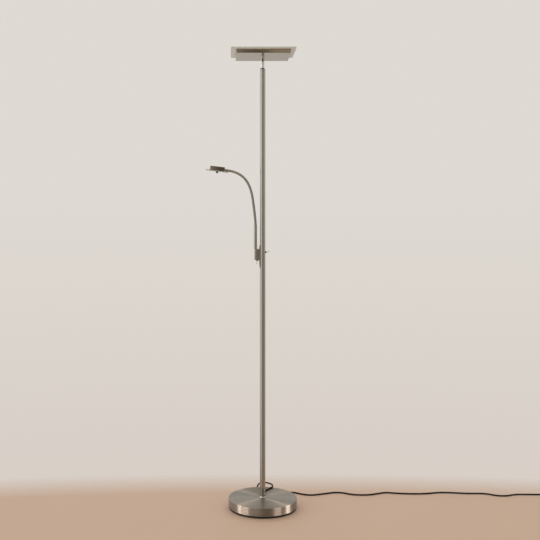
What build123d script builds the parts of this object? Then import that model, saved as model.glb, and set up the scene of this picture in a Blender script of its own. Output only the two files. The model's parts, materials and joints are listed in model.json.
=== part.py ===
from build123d import *
from math import cos, pi, radians, sin, sqrt, tan
import os

os.makedirs("parts", exist_ok=True)

# Floor lamp with a square uplight and a reading light on a flexible arm.
# Millimetres. The origin is the centre of the foot on the floor, +Z is up,
# the reading arm reaches towards -X and the mains lead leaves the back, +Y, and runs towards +X.

# Clearances shared by all pieces
running_fit = 0.05
seat_gap = 0.3
cut_overrun = 2.0
edge_break = 0.3

# Overall height, to the top of the glass
lamp_height = 1800.0

# Base
base_diameter = 270.0
foot_height = 8.4
foot_inset = 2.5
foot_floor = 3.0
foot_wall = 3.0
foot_chamfer = 0.8
foot_screw_radius = 2.5
foot_screw_head_radius = 5.0
foot_screw_length = 12.0
foot_screw_circle = 95.0
foot_screw_count = 3
cover_height = 31.1
cover_wall = 1.2
cover_edge_radius = 2.0
weight_gap = 0.5
weight_thickness = 14.0
weight_boss_radius = 32.0
weight_rim_width = 10.0
weight_rim_height = 10.0
weight_rib_width = 8.0
weight_rib_count = 6
collar_radius = 12.6
collar_height = 5.0
collar_edge_radius = 1.5

# Bolt that pulls the pole down on the base
bolt_radius = 5.0
bolt_head_across = 17.0
bolt_head_height = 6.4
bolt_flange_radius = 10.5
bolt_flange_height = 1.5
bolt_head_room = 0.8

# Pole
pole_radius = 11.0
pole_wall = 1.0
lower_seam_height = 661.0
upper_seam_height = 1197.0
foot_plug_height = 13.0
joiner_length = 44.0
joiner_wall = 1.4
cap_height = 8.0
cap_edge_radius = 3.5
cap_spigot_length = 12.0

# Neck between the pole and the uplight, with the tilt pin
neck_radius = 7.25
neck_height = 45.0
journal_radius = 5.0
bush_wall = 1.4
bush_flange_height = 1.0
neck_nut_across = 13.0
neck_nut_height = 5.0
neck_groove_depth = 0.6
neck_groove_height = 16.0
pin_drop = 14.5
pin_radius = 2.5
fork_slot_width = 6.0
tongue_radius = 6.0
collar_clearance = 0.55
stub_radius = 4.0
stub_length = 8.0
knuckle_nut_across = 13.0
knuckle_nut_height = 4.0

# Uplight
housing_side = 212.0
housing_height = 15.0
housing_wall = 1.2
housing_floor = 1.5
housing_corner_radius = 2.5
housing_edge_radius = 0.8
post_radius = 4.0
post_height = 7.8
post_spacing = 120.0
small_screw_radius = 1.45
small_screw_head_radius = 2.8
small_screw_head_height = 1.6
small_screw_length = 7.0
board_side = 150.0
board_thickness = 1.5
board_corner_radius = 3.0
chip_side = 5.0
chip_height = 0.8
chip_pitch = 22.0
chips_per_side = 6
driver_length = 100.0
driver_width = 34.0
driver_height = 7.0
driver_offset = 32.0
driver_edge_radius = 1.0
glass_side = 252.0
glass_thickness = 6.0
glass_corner_radius = 4.0
glass_edge_chamfer = 0.8
frame_gap = 0.4
frame_width = 6.0
frame_height = 8.0
frame_screw_drop = 4.5

# Saddle and switch block on the pole, which hang a set drop under the upper seam
saddle_drop = 159.0
saddle_length = 92.0
saddle_depth = 3.2
saddle_lip = 0.4
saddle_half_width = 8.5
saddle_lower_taper = 26.0
saddle_upper_taper = 15.0
saddle_inside_share = 0.5
block_rise = 31.0
block_height = 43.5
block_width = 18.3
block_depth = 22.0
block_corner_radius = 4.0
block_edge_radius = 1.0
block_wall = 2.0
block_roof = 12.5
block_base_thickness = 1.5
block_screw_radius = 2.0
block_screw_head_radius = 3.5
block_screw_head_height = 2.0
block_screw_rise = 15.3
block_screw_spacing = 12.0
wire_hole_radius = 2.5

# Toggle switches
switch_neck_radius = 3.0
switch_bore_radius = 2.0
switch_bore_depth = 5.0
switch_body_length = 10.0
switch_body_width = 7.2
switch_body_height = 8.4
switch_neck_reach = 4.0
switch_nut_across = 8.0
switch_nut_height = 1.8
uplight_switch_rise = 62.0
reading_switch_shift = 1.7
lever_ball_radius = 1.7
lever_root_radius = 1.0
lever_tip_radius = 1.6
lever_length = 14.2
lever_pivot_depth = 1.5
lever_lean = 17.0
straight_down = -90.0

# Sleeve at the foot of the flexible arm
sleeve_radius = 6.7
sleeve_length = 97.0
sleeve_floor = 6.0
sleeve_offset = 17.5
sleeve_chamfer = 0.8
swivel_radius = 2.5
swivel_length = 10.0
swivel_head_radius = 3.8
swivel_head_height = 2.5
swivel_groove_depth = 0.6
swivel_groove_width = 3.6
swivel_groove_drop = 4.2
set_screw_radius = 1.5

# Flexible arm: a chain of links with ball ends. Angles are from upright, in degrees.
link_radius = 5.4
link_end_chamfer = 0.6
link_groove_depth = 0.5
link_groove_width = 1.6
link_gap = 2.7
ball_radius = 4.2
ball_gap = 0.3
ball_drop = 2.1
cup_depth = 3.8
long_link = 45.0
short_link = 27.6
long_link_groove_count = 3
short_link_groove_count = 1
link_angles = [4.8, 7.2, 9.2, 16.0, 26.5, 42.0, 59.0, 74.0]
long_link_count = 2
tip_angle = 83.0
tip_length = 19.0
tip_insert = 5.0
tip_nut_radius = 5.8
tip_nut_height = 2.0

# Reading head
reading_side = 58.0
reading_height = 16.5
reading_wall = 1.2
reading_roof = 1.5
reading_corner_radius = 1.5
reading_edge_radius = 0.6
tip_below_centre = 2.3
reading_board_side = 44.0
reading_board_thickness = 2.0
reading_chip_circle = 13.0
reading_chip_count = 6
stud_radius = 2.0
stud_flange_radius = 4.5
stud_flange_height = 1.5
stud_reach = 4.0
reading_glass_side = 89.0
reading_glass_thickness = 3.5
reading_glass_hole_radius = 2.6
reading_glass_corner_radius = 3.0
reading_glass_chamfer = 0.6
washer_radius = 4.6
washer_thickness = 0.8
knob_radius = 4.2
knob_height = 5.0
knob_flute_radius = 0.5
knob_flute_count = 12

# Mains lead
cord_radius = 3.0
floor_clearance = 0.1
arc_share = 0.45
grommet_height = 58.0
grommet_neck_radius = 4.0
grommet_flange_radius = 6.0
grommet_flange_reach = 3.0
inner_cable_radius = 2.0
inner_cable_offset = 6.0
inner_cable_shift_height = 100.0
inner_cable_shift_run = 24.0
inner_cable_top_gap = 12.0
coil_radius = 37.0
coil_pitch = 6.5
coil_quarter_count = 9
coil_climb_quarter_count = 4
coil_lead = 9.0
coil_tail_level = 8.0
coil_tail_run = 24.0
plug_shoulder_length = 15.0
plug_front_length = 20.0
plug_width = 35.3
plug_thickness = 13.7
plug_corner_radius = 3.0
plug_rear_width = 15.0
plug_rear_thickness = 10.0
relief_length = 16.0
relief_tip_radius = 3.9
relief_root_radius = 4.8
relief_groove_depth = 0.7
relief_groove_width = 1.6
relief_groove_count = 3
plug_pin_radius = 2.0
plug_pin_length = 19.0
plug_pin_spacing = 18.6

# Heights and radii that follow from the sizes above
base_top = foot_height + cover_height
pole_inner_radius = pole_radius - pole_wall
inside_fit_radius = pole_inner_radius - running_fit
glass_bottom = lamp_height - glass_thickness
housing_bottom = glass_bottom - housing_height
pole_top = housing_bottom - neck_height
cap_bottom = pole_top - cap_height
pin_height = housing_bottom - pin_drop
saddle_top = upper_seam_height - saddle_drop
saddle_bottom = saddle_top - saddle_length
block_bottom = saddle_bottom + block_rise
uplight_switch_height = saddle_bottom + uplight_switch_rise
foot_radius = base_diameter / 2 - foot_inset
ball_recess_radius = ball_radius + ball_gap
cord_floor = cord_radius + floor_clearance


def store(piece, node):
    piece.part.label = node
    export_step(piece.part, f"parts/{node}.step")


def outline(points, plane=Plane.XZ):
    """A closed face with straight sides, drawn on a plane that holds the axis of a turned piece."""
    with BuildSketch(plane) as drawing:
        with BuildLine():
            Polyline(*points, close=True)
        make_face()
    return drawing.sketch


# Base

with BuildPart() as foot_plate:
    with BuildSketch():
        Circle(foot_radius)
    extrude(amount=foot_height)
    chamfer(foot_plate.faces().sort_by(Axis.Z)[0].edges(), foot_chamfer)
    with BuildSketch(Plane.XY.offset(foot_floor)):
        Circle(foot_radius - foot_wall)
    extrude(amount=foot_height, mode=Mode.SUBTRACT)
    with BuildSketch():
        with PolarLocations(foot_screw_circle, foot_screw_count):
            Circle(foot_screw_radius + running_fit)
    extrude(amount=foot_floor, mode=Mode.SUBTRACT)
    foot_sink_radius = foot_screw_head_radius + seat_gap + running_fit
    chamfer(
        foot_plate.faces().sort_by(Axis.Z)[0].edges().filter_by(GeomType.CIRCLE).group_by(SortBy.RADIUS)[0],
        foot_sink_radius - foot_screw_radius - running_fit,
    )
store(foot_plate, "foot_plate")

with BuildPart() as foot_screws:
    with BuildSketch(Plane.XY.offset(seat_gap)):
        with PolarLocations(foot_screw_circle, foot_screw_count):
            Circle(foot_screw_radius)
    extrude(amount=foot_screw_length)
    with BuildSketch(Plane.XY.offset(seat_gap)):
        with PolarLocations(foot_screw_circle, foot_screw_count):
            Circle(foot_screw_head_radius)
    extrude(amount=foot_screw_head_radius - foot_screw_radius, taper=45)
store(foot_screws, "foot_screws")

weight_radius = foot_radius - foot_wall - weight_gap
boss_top = base_top - cover_wall
bolt_head_top = foot_floor + bolt_head_room + bolt_head_height + bolt_flange_height
rib_top = foot_floor + weight_thickness + weight_rim_height
with BuildPart() as base_weight:
    with BuildSketch(Plane.XY.offset(foot_floor)):
        Circle(weight_radius)
    extrude(amount=weight_thickness)
    with BuildSketch(Plane.XY.offset(foot_floor + weight_thickness)):
        Circle(weight_radius)
        Circle(weight_radius - weight_rim_width, mode=Mode.SUBTRACT)
        with PolarLocations(weight_radius / 2, weight_rib_count):
            Rectangle(weight_radius - weight_rim_width / 2, weight_rib_width)
    extrude(amount=weight_rim_height)
    with BuildSketch(Plane.XY.offset(foot_floor)):
        Circle(weight_boss_radius)
    extrude(amount=boss_top - foot_floor)
    with BuildSketch(Plane.XY.offset(foot_floor)):
        Circle(bolt_radius + seat_gap)
    extrude(amount=boss_top, mode=Mode.SUBTRACT)
    with BuildSketch(Plane.XY.offset(foot_floor)):
        Circle(bolt_flange_radius + seat_gap)
    extrude(amount=bolt_head_top - foot_floor, mode=Mode.SUBTRACT)
    with BuildSketch(Plane.XY.offset(foot_floor)):
        with PolarLocations(foot_screw_circle, foot_screw_count):
            Circle(foot_screw_radius + running_fit)
    extrude(amount=foot_screw_length, mode=Mode.SUBTRACT)
store(base_weight, "base_weight")

with BuildPart() as base_bolt:
    with BuildSketch(Plane.XY.offset(foot_floor + bolt_head_room)):
        RegularPolygon(bolt_head_across / 2, 6, major_radius=False)
    extrude(amount=bolt_head_height)
    with BuildSketch(Plane.XY.offset(bolt_head_top - bolt_flange_height)):
        Circle(bolt_flange_radius)
    extrude(amount=bolt_flange_height)
    with BuildSketch(Plane.XY.offset(bolt_head_top)):
        Circle(bolt_radius)
    extrude(amount=base_top + foot_plug_height - edge_break - bolt_head_top)
    chamfer(base_bolt.faces().sort_by(Axis.Z)[-1].edges(), edge_break)
store(base_bolt, "base_bolt")

with BuildPart() as base_cover:
    with BuildSketch(Plane.XY.offset(foot_height)):
        Circle(base_diameter / 2)
    extrude(amount=cover_height)
    fillet(base_cover.faces().sort_by(Axis.Z)[-1].edges(), cover_edge_radius)
    with BuildSketch(Plane.XY.offset(foot_height)):
        Circle(base_diameter / 2 - cover_wall)
    extrude(amount=cover_height - cover_wall, mode=Mode.SUBTRACT)
    with BuildSketch(Plane.XY.offset(foot_height)):
        Circle(bolt_radius + seat_gap)
    extrude(amount=cover_height, mode=Mode.SUBTRACT)
store(base_cover, "base_cover")

with BuildPart() as base_collar:
    with BuildSketch(Plane.XY.offset(base_top)):
        Circle(collar_radius)
    extrude(amount=collar_height)
    fillet(base_collar.faces().sort_by(Axis.Z)[-1].edges(), collar_edge_radius)
    with BuildSketch(Plane.XY.offset(base_top)):
        Circle(pole_radius + running_fit)
    extrude(amount=collar_height, mode=Mode.SUBTRACT)
store(base_collar, "base_collar")

# Pole

with BuildPart() as pole_foot_plug:
    with BuildSketch(Plane.XY.offset(base_top)):
        Circle(inside_fit_radius)
        Circle(bolt_radius + running_fit, mode=Mode.SUBTRACT)
    extrude(amount=foot_plug_height)
store(pole_foot_plug, "pole_foot_plug")


def pole_tube(bottom, top):
    """A length of the pole with its four end edges lightly broken, so that the seams read as fine lines."""
    with BuildPart() as tube:
        with BuildSketch(Plane.XY.offset(bottom)):
            Circle(pole_radius)
            Circle(pole_inner_radius, mode=Mode.SUBTRACT)
        extrude(amount=top - bottom)
        chamfer(tube.edges().filter_by(GeomType.CIRCLE).group_by(SortBy.RADIUS)[-1], edge_break)
    return tube


block_left = pole_radius + saddle_depth + block_width
block_right = pole_radius + saddle_depth
block_top = block_bottom + block_height
lower_block_screw = block_bottom + block_screw_rise
block_screw_heights = [lower_block_screw, lower_block_screw + block_screw_spacing]
wire_hole_height = lower_block_screw + block_screw_spacing / 2

with BuildPart() as pole_lower:
    add(pole_tube(base_top, lower_seam_height).part)
    with BuildSketch(Plane.XZ.offset(-pole_radius - cut_overrun)):
        with Locations((0, grommet_height)):
            Circle(grommet_neck_radius + running_fit)
    extrude(amount=pole_radius + cut_overrun, mode=Mode.SUBTRACT)
store(pole_lower, "pole_lower")

with BuildPart() as pole_middle:
    add(pole_tube(lower_seam_height, upper_seam_height).part)
    with BuildSketch(Plane.YZ):
        with Locations((0, uplight_switch_height)):
            Circle(switch_neck_radius + running_fit)
    extrude(amount=pole_radius + cut_overrun, mode=Mode.SUBTRACT)
    with BuildSketch(Plane.YZ):
        with Locations(*[(0, height) for height in block_screw_heights]):
            Circle(block_screw_radius + running_fit)
        with Locations((0, wire_hole_height)):
            Circle(wire_hole_radius)
    extrude(amount=-pole_radius - cut_overrun, mode=Mode.SUBTRACT)
store(pole_middle, "pole_middle")

with BuildPart() as pole_upper:
    add(pole_tube(upper_seam_height, cap_bottom).part)
store(pole_upper, "pole_upper")

with BuildPart() as pole_joiners:
    for seam_height in (lower_seam_height, upper_seam_height):
        with BuildSketch(Plane.XY.offset(seam_height - joiner_length / 2)):
            Circle(inside_fit_radius)
            Circle(inside_fit_radius - joiner_wall, mode=Mode.SUBTRACT)
        extrude(amount=joiner_length)
store(pole_joiners, "pole_joiners")

bush_radius = journal_radius + running_fit + bush_wall
with BuildPart() as pole_cap:
    with BuildSketch(Plane.XY.offset(cap_bottom)):
        Circle(pole_radius)
    extrude(amount=cap_height)
    fillet(pole_cap.faces().sort_by(Axis.Z)[-1].edges(), cap_edge_radius)
    with BuildSketch(Plane.XY.offset(cap_bottom - cap_spigot_length)):
        Circle(inside_fit_radius)
    extrude(amount=cap_spigot_length)
    with BuildSketch(Plane.XY.offset(cap_bottom - cap_spigot_length)):
        Circle(bush_radius + running_fit)
    extrude(amount=cap_spigot_length + cap_height, mode=Mode.SUBTRACT)
store(pole_cap, "pole_cap")

# Neck

spigot_bottom = cap_bottom - cap_spigot_length
with BuildPart() as neck_bush:
    with BuildSketch(Plane.XY.offset(spigot_bottom)):
        Circle(bush_radius)
    extrude(amount=pole_top - spigot_bottom)
    with BuildSketch(Plane.XY.offset(pole_top)):
        Circle(neck_radius)
    extrude(amount=bush_flange_height)
    with BuildSketch(Plane.XY.offset(spigot_bottom)):
        Circle(journal_radius + running_fit)
    extrude(amount=pole_top + bush_flange_height - spigot_bottom, mode=Mode.SUBTRACT)
store(neck_bush, "neck_bush")

stem_shoulder = pole_top + bush_flange_height + seat_gap
neck_nut_bottom = spigot_bottom - seat_gap - neck_nut_height
slot_floor = pin_height - tongue_radius - 2 * seat_gap
with BuildPart() as neck_stem:
    with BuildSketch(Plane.XY.offset(stem_shoulder)):
        Circle(neck_radius)
    extrude(amount=pin_height + neck_radius - stem_shoulder)
    with BuildSketch(Plane.YZ.offset(-neck_radius)):
        with Locations((0, (stem_shoulder + pin_height) / 2)):
            Rectangle(2 * neck_radius, pin_height - stem_shoulder)
        with Locations((0, pin_height)):
            Circle(neck_radius)
    extrude(amount=2 * neck_radius, mode=Mode.INTERSECT)
    with BuildSketch(Plane.XY.offset(neck_nut_bottom - edge_break)):
        Circle(journal_radius)
    extrude(amount=stem_shoulder - neck_nut_bottom + edge_break)
    groove_middle = stem_shoulder + neck_groove_height
    revolve(
        outline([
            (neck_radius, groove_middle - neck_groove_depth),
            (neck_radius - neck_groove_depth, groove_middle),
            (neck_radius, groove_middle + neck_groove_depth),
        ]),
        axis=Axis.Z,
        mode=Mode.SUBTRACT,
    )
    with BuildSketch(Plane.XY.offset(slot_floor)):
        Rectangle(fork_slot_width, 2 * neck_radius + cut_overrun)
    extrude(amount=neck_radius + pin_height - slot_floor, mode=Mode.SUBTRACT)
    with BuildSketch(Plane.YZ.offset(-neck_radius)):
        with Locations((0, pin_height)):
            Circle(pin_radius + running_fit)
    extrude(amount=2 * neck_radius, mode=Mode.SUBTRACT)
    with BuildSketch(Plane.XY.offset(neck_nut_bottom - edge_break)):
        Circle(inner_cable_radius + seat_gap)
    extrude(amount=slot_floor - neck_nut_bottom + cut_overrun, mode=Mode.SUBTRACT)
store(neck_stem, "neck_stem")

with BuildPart() as neck_nut:
    with BuildSketch(Plane.XY.offset(neck_nut_bottom)):
        RegularPolygon(neck_nut_across / 2, 6, major_radius=False)
        Circle(journal_radius + running_fit, mode=Mode.SUBTRACT)
    extrude(amount=neck_nut_height)
store(neck_nut, "neck_nut")

pin_half_length = sqrt(neck_radius**2 - pin_radius**2)
with BuildPart() as tilt_pin:
    with BuildSketch(Plane.YZ.offset(-pin_half_length)):
        with Locations((0, pin_height)):
            Circle(pin_radius)
    extrude(amount=2 * pin_half_length)
    chamfer(tilt_pin.edges().filter_by(GeomType.CIRCLE), edge_break)
store(tilt_pin, "tilt_pin")

knuckle_collar_bottom = pin_height + neck_radius + collar_clearance
tongue_half_thickness = fork_slot_width / 2 - seat_gap
with BuildPart() as head_knuckle:
    with BuildSketch(Plane.YZ.offset(-tongue_half_thickness)):
        with Locations((0, pin_height)):
            Circle(tongue_radius)
        with Locations((0, (pin_height + knuckle_collar_bottom) / 2)):
            Rectangle(2 * tongue_radius, knuckle_collar_bottom - pin_height)
        with Locations((0, pin_height)):
            Circle(pin_radius + running_fit, mode=Mode.SUBTRACT)
    extrude(amount=2 * tongue_half_thickness)
    with BuildSketch(Plane.XY.offset(knuckle_collar_bottom)):
        Circle(neck_radius)
    extrude(amount=housing_bottom - knuckle_collar_bottom)
    with BuildSketch(Plane.XY.offset(housing_bottom)):
        Circle(stub_radius)
    extrude(amount=stub_length)
store(head_knuckle, "head_knuckle")

with BuildPart() as knuckle_nut:
    with BuildSketch(Plane.XY.offset(housing_bottom + housing_floor)):
        RegularPolygon(knuckle_nut_across / 2, 6, major_radius=False)
        Circle(stub_radius + running_fit, mode=Mode.SUBTRACT)
    extrude(amount=knuckle_nut_height)
store(knuckle_nut, "knuckle_nut")

# Uplight head

post_top = housing_bottom + housing_floor + post_height
frame_screw_height = glass_bottom - frame_screw_drop
with BuildPart() as head_housing:
    with BuildSketch(Plane.XY.offset(housing_bottom)):
        RectangleRounded(housing_side, housing_side, housing_corner_radius)
    extrude(amount=housing_height)
    fillet(head_housing.faces().sort_by(Axis.Z)[0].edges(), housing_edge_radius)
    with BuildSketch(Plane.XY.offset(housing_bottom + housing_floor)):
        inside = housing_side - 2 * housing_wall
        RectangleRounded(inside, inside, housing_corner_radius - housing_wall)
    extrude(amount=housing_height, mode=Mode.SUBTRACT)
    with BuildSketch(Plane.XY.offset(housing_bottom + housing_floor)):
        with GridLocations(post_spacing, post_spacing, 2, 2):
            Circle(post_radius)
            Circle(small_screw_radius + running_fit, mode=Mode.SUBTRACT)
    extrude(amount=post_height)
    with BuildSketch(Plane.XY.offset(housing_bottom)):
        Circle(stub_radius + running_fit)
    extrude(amount=housing_floor, mode=Mode.SUBTRACT)
    with BuildSketch(Plane.YZ.offset(-housing_side / 2)):
        with Locations((0, frame_screw_height)):
            Circle(small_screw_radius + running_fit)
    extrude(amount=housing_side, mode=Mode.SUBTRACT)
store(head_housing, "head_housing")

with BuildPart() as led_board:
    with BuildSketch(Plane.XY.offset(post_top)):
        RectangleRounded(board_side, board_side, board_corner_radius)
        with GridLocations(post_spacing, post_spacing, 2, 2):
            Circle(small_screw_radius + running_fit, mode=Mode.SUBTRACT)
    extrude(amount=board_thickness)
store(led_board, "led_board")

board_top = post_top + board_thickness
with BuildPart() as led_chips:
    with BuildSketch(Plane.XY.offset(board_top)):
        with GridLocations(chip_pitch, chip_pitch, chips_per_side, chips_per_side):
            Rectangle(chip_side, chip_side)
    extrude(amount=chip_height)
store(led_chips, "led_chips")

with BuildPart() as board_screws:
    with BuildSketch(Plane.XY.offset(board_top)):
        with GridLocations(post_spacing, post_spacing, 2, 2):
            Circle(small_screw_head_radius)
    extrude(amount=small_screw_head_height)
    with BuildSketch(Plane.XY.offset(board_top)):
        with GridLocations(post_spacing, post_spacing, 2, 2):
            Circle(small_screw_radius)
    extrude(amount=-small_screw_length)
store(board_screws, "board_screws")

with BuildPart() as led_driver:
    with BuildSketch(Plane.XY.offset(housing_bottom + housing_floor)):
        with Locations((0, driver_offset)):
            Rectangle(driver_length, driver_width)
    extrude(amount=driver_height)
    fillet(led_driver.edges().filter_by(Axis.Z), driver_edge_radius)
store(led_driver, "led_driver")

frame_side = housing_side - 2 * housing_wall - 2 * frame_gap
with BuildPart() as glass_frame:
    with BuildSketch(Plane.XY.offset(glass_bottom - frame_height)):
        Rectangle(frame_side, frame_side)
        Rectangle(frame_side - 2 * frame_width, frame_side - 2 * frame_width, mode=Mode.SUBTRACT)
    extrude(amount=frame_height)
    with BuildSketch(Plane.YZ.offset(-frame_side / 2)):
        with Locations((0, frame_screw_height)):
            Circle(small_screw_radius + running_fit)
    extrude(amount=frame_side, mode=Mode.SUBTRACT)
store(glass_frame, "glass_frame")

with BuildPart() as glass_screws:
    for direction in (-1, 1):
        with BuildSketch(Plane.YZ.offset(direction * housing_side / 2)):
            with Locations((0, frame_screw_height)):
                Circle(small_screw_head_radius)
        extrude(amount=direction * small_screw_head_height)
        with BuildSketch(Plane.YZ.offset(direction * housing_side / 2)):
            with Locations((0, frame_screw_height)):
                Circle(small_screw_radius)
        extrude(amount=-direction * small_screw_length)
store(glass_screws, "glass_screws")

with BuildPart() as glass_plate:
    with BuildSketch(Plane.XY.offset(glass_bottom)):
        RectangleRounded(glass_side, glass_side, glass_corner_radius)
    extrude(amount=glass_thickness)
    chamfer(glass_plate.faces().filter_by(Axis.Z).edges(), glass_edge_chamfer)
store(glass_plate, "glass_plate")

# Saddle and switch block

saddle_face = pole_radius + saddle_depth
saddle_inside = pole_radius * saddle_inside_share
with BuildPart() as pole_saddle:
    with BuildSketch(Plane.XZ.offset(-saddle_half_width)):
        with BuildLine():
            Polyline(
                (-pole_radius - saddle_lip, saddle_top),
                (-saddle_inside, saddle_top),
                (-saddle_inside, saddle_bottom),
                (-pole_radius - saddle_lip, saddle_bottom),
            )
            TangentArc(
                (-saddle_face, saddle_bottom + saddle_lower_taper),
                (-pole_radius - saddle_lip, saddle_bottom),
                tangent=(0, -1),
            )
            Line(
                (-saddle_face, saddle_bottom + saddle_lower_taper),
                (-saddle_face, saddle_top - saddle_upper_taper),
            )
            TangentArc(
                (-saddle_face, saddle_top - saddle_upper_taper),
                (-pole_radius - saddle_lip, saddle_top),
                tangent=(0, 1),
            )
        make_face()
    extrude(amount=2 * saddle_half_width)
    with BuildSketch(Plane.XY.offset(saddle_bottom)):
        Circle(pole_radius + running_fit)
    extrude(amount=saddle_top - saddle_bottom, mode=Mode.SUBTRACT)
    with BuildSketch(Plane.YZ):
        with Locations(*[(0, height) for height in block_screw_heights]):
            Circle(block_screw_radius + running_fit)
        with Locations((0, wire_hole_height)):
            Circle(wire_hole_radius)
    extrude(amount=-saddle_face - cut_overrun, mode=Mode.SUBTRACT)
store(pole_saddle, "pole_saddle")

block_middle = -(block_left + block_right) / 2
sleeve_x = -pole_radius - sleeve_offset
cavity_top = block_top - block_roof
set_screw_height = block_top - swivel_groove_drop
with BuildPart() as switch_block:
    with BuildSketch(Plane.XY.offset(block_bottom)):
        with Locations((block_middle, 0)):
            Rectangle(block_width, block_depth)
    extrude(amount=block_height)
    fillet(switch_block.edges().filter_by(Axis.Z).group_by(Axis.X)[0], block_corner_radius)
    fillet(switch_block.faces().sort_by(Axis.Z)[-1].edges().group_by(Axis.X)[0], block_edge_radius)
    with BuildSketch(Plane.XY.offset(block_bottom)):
        with Locations((block_middle, 0)):
            Rectangle(block_width - 2 * block_wall, block_depth - 2 * block_wall)
    extrude(amount=cavity_top - block_bottom, mode=Mode.SUBTRACT)
    with BuildSketch(Plane.YZ.offset(-block_right)):
        with Locations(*[(0, height) for height in block_screw_heights]):
            Circle(block_screw_radius + running_fit)
        with Locations((0, wire_hole_height)):
            Circle(wire_hole_radius)
    extrude(amount=-block_wall, mode=Mode.SUBTRACT)
    with BuildSketch(Plane.XY.offset(block_top)):
        with Locations((sleeve_x, 0)):
            Circle(swivel_radius + running_fit)
    extrude(amount=-swivel_length - seat_gap, mode=Mode.SUBTRACT)
    with BuildSketch(Plane.XZ.offset(-block_depth / 2)):
        with Locations((sleeve_x, set_screw_height)):
            Circle(set_screw_radius + running_fit)
    extrude(amount=block_depth / 2, mode=Mode.SUBTRACT)
store(switch_block, "switch_block")

reading_switch_x = block_middle + reading_switch_shift
with BuildPart() as block_base:
    with BuildSketch(Plane.XY.offset(block_bottom)):
        with Locations((block_middle, 0)):
            Rectangle(block_width - 2 * block_wall - running_fit, block_depth - 2 * block_wall - running_fit)
        with Locations((reading_switch_x, 0)):
            Circle(switch_neck_radius + running_fit, mode=Mode.SUBTRACT)
    extrude(amount=block_base_thickness)
store(block_base, "block_base")

with BuildPart() as block_screws:
    for height in block_screw_heights:
        with BuildSketch(Plane.YZ.offset(-block_right - block_wall)):
            with Locations((0, height)):
                Circle(block_screw_head_radius)
        extrude(amount=-block_screw_head_height)
        with BuildSketch(Plane.YZ.offset(-block_right - block_wall)):
            with Locations((0, height)):
                Circle(block_screw_radius)
        extrude(amount=block_right + block_wall - pole_inner_radius + cut_overrun)
store(block_screws, "block_screws")

# Toggle switches. Each is drawn on a plane at its seat, whose normal points the way the lever leaves.

inner_flat = sqrt(pole_inner_radius**2 - (switch_body_width / 2) ** 2)
uplight_seat = Plane(
    origin=(inner_flat - running_fit, 0, uplight_switch_height),
    x_dir=(0, 1, 0),
    z_dir=(1, 0, 0),
)
reading_seat = Plane(
    origin=(reading_switch_x, 0, block_bottom + block_base_thickness),
    x_dir=(0, 1, 0),
    z_dir=(0, 0, -1),
)
uplight_mouth = pole_radius + switch_neck_reach - uplight_seat.origin.X
reading_mouth = block_base_thickness + switch_neck_reach


def toggle_switch(seat, mouth):
    """The switch body behind its seat, and in front of it the threaded neck with the lever's bore."""
    with BuildPart() as switch:
        with BuildSketch(seat):
            Rectangle(switch_body_width, switch_body_height)
        extrude(amount=-switch_body_length)
        with BuildSketch(seat):
            Circle(switch_neck_radius)
        extrude(amount=mouth)
        with BuildSketch(seat.offset(mouth)):
            Circle(switch_bore_radius)
        extrude(amount=-switch_bore_depth, mode=Mode.SUBTRACT)
    return switch


store(toggle_switch(uplight_seat, uplight_mouth), "uplight_switch")
store(toggle_switch(reading_seat, reading_mouth), "reading_switch")

with BuildPart() as switch_nuts:
    nut_seats = [
        uplight_seat.offset(pole_radius + running_fit - uplight_seat.origin.X),
        reading_seat.offset(block_base_thickness),
    ]
    for nut_seat in nut_seats:
        with BuildSketch(nut_seat):
            RegularPolygon(switch_nut_across / 2, 6, major_radius=False)
            Circle(switch_neck_radius + running_fit, mode=Mode.SUBTRACT)
        extrude(amount=switch_nut_height)
store(switch_nuts, "switch_nuts")


def toggle_lever(pivot, lean):
    """A bat lever: a ball at its pivot and a stem that widens to a rounded tip, leant from +X towards +Z."""
    along = Vector(cos(radians(lean)), 0, sin(radians(lean)))
    lever_plane = Plane(origin=pivot, x_dir=(0, 1, 0), z_dir=along)
    with BuildPart() as lever:
        with Locations(lever_plane):
            Sphere(lever_ball_radius)
            with Locations((0, 0, lever_length / 2)):
                Cone(lever_root_radius, lever_tip_radius, lever_length)
        fillet(lever.edges().filter_by(GeomType.CIRCLE).sort_by(Axis(pivot, along))[-1], lever_tip_radius / 2)
    return lever


uplight_pivot = Vector(uplight_seat.origin.X + uplight_mouth - lever_pivot_depth, 0, uplight_switch_height)
reading_pivot = Vector(reading_switch_x, 0, reading_seat.origin.Z - reading_mouth + lever_pivot_depth)
store(toggle_lever(uplight_pivot, lever_lean), "uplight_toggle")
store(toggle_lever(reading_pivot, straight_down - lever_lean), "reading_toggle")

# Sleeve of the flexible arm, which turns on the block

sleeve_bottom = block_top + seat_gap
sleeve_top = sleeve_bottom + sleeve_length
with BuildPart() as arm_sleeve:
    with BuildSketch(Plane.XY.offset(sleeve_bottom)):
        with Locations((sleeve_x, 0)):
            Circle(sleeve_radius)
    extrude(amount=sleeve_length)
    chamfer(arm_sleeve.edges().filter_by(GeomType.CIRCLE), sleeve_chamfer)
    with BuildSketch(Plane.XY.offset(sleeve_bottom + sleeve_floor)):
        with Locations((sleeve_x, 0)):
            Circle(ball_recess_radius)
    extrude(amount=sleeve_length, mode=Mode.SUBTRACT)
    with BuildSketch(Plane.XY.offset(sleeve_bottom)):
        with Locations((sleeve_x, 0)):
            Circle(swivel_radius + running_fit)
    extrude(amount=sleeve_floor, mode=Mode.SUBTRACT)
store(arm_sleeve, "arm_sleeve")

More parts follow.
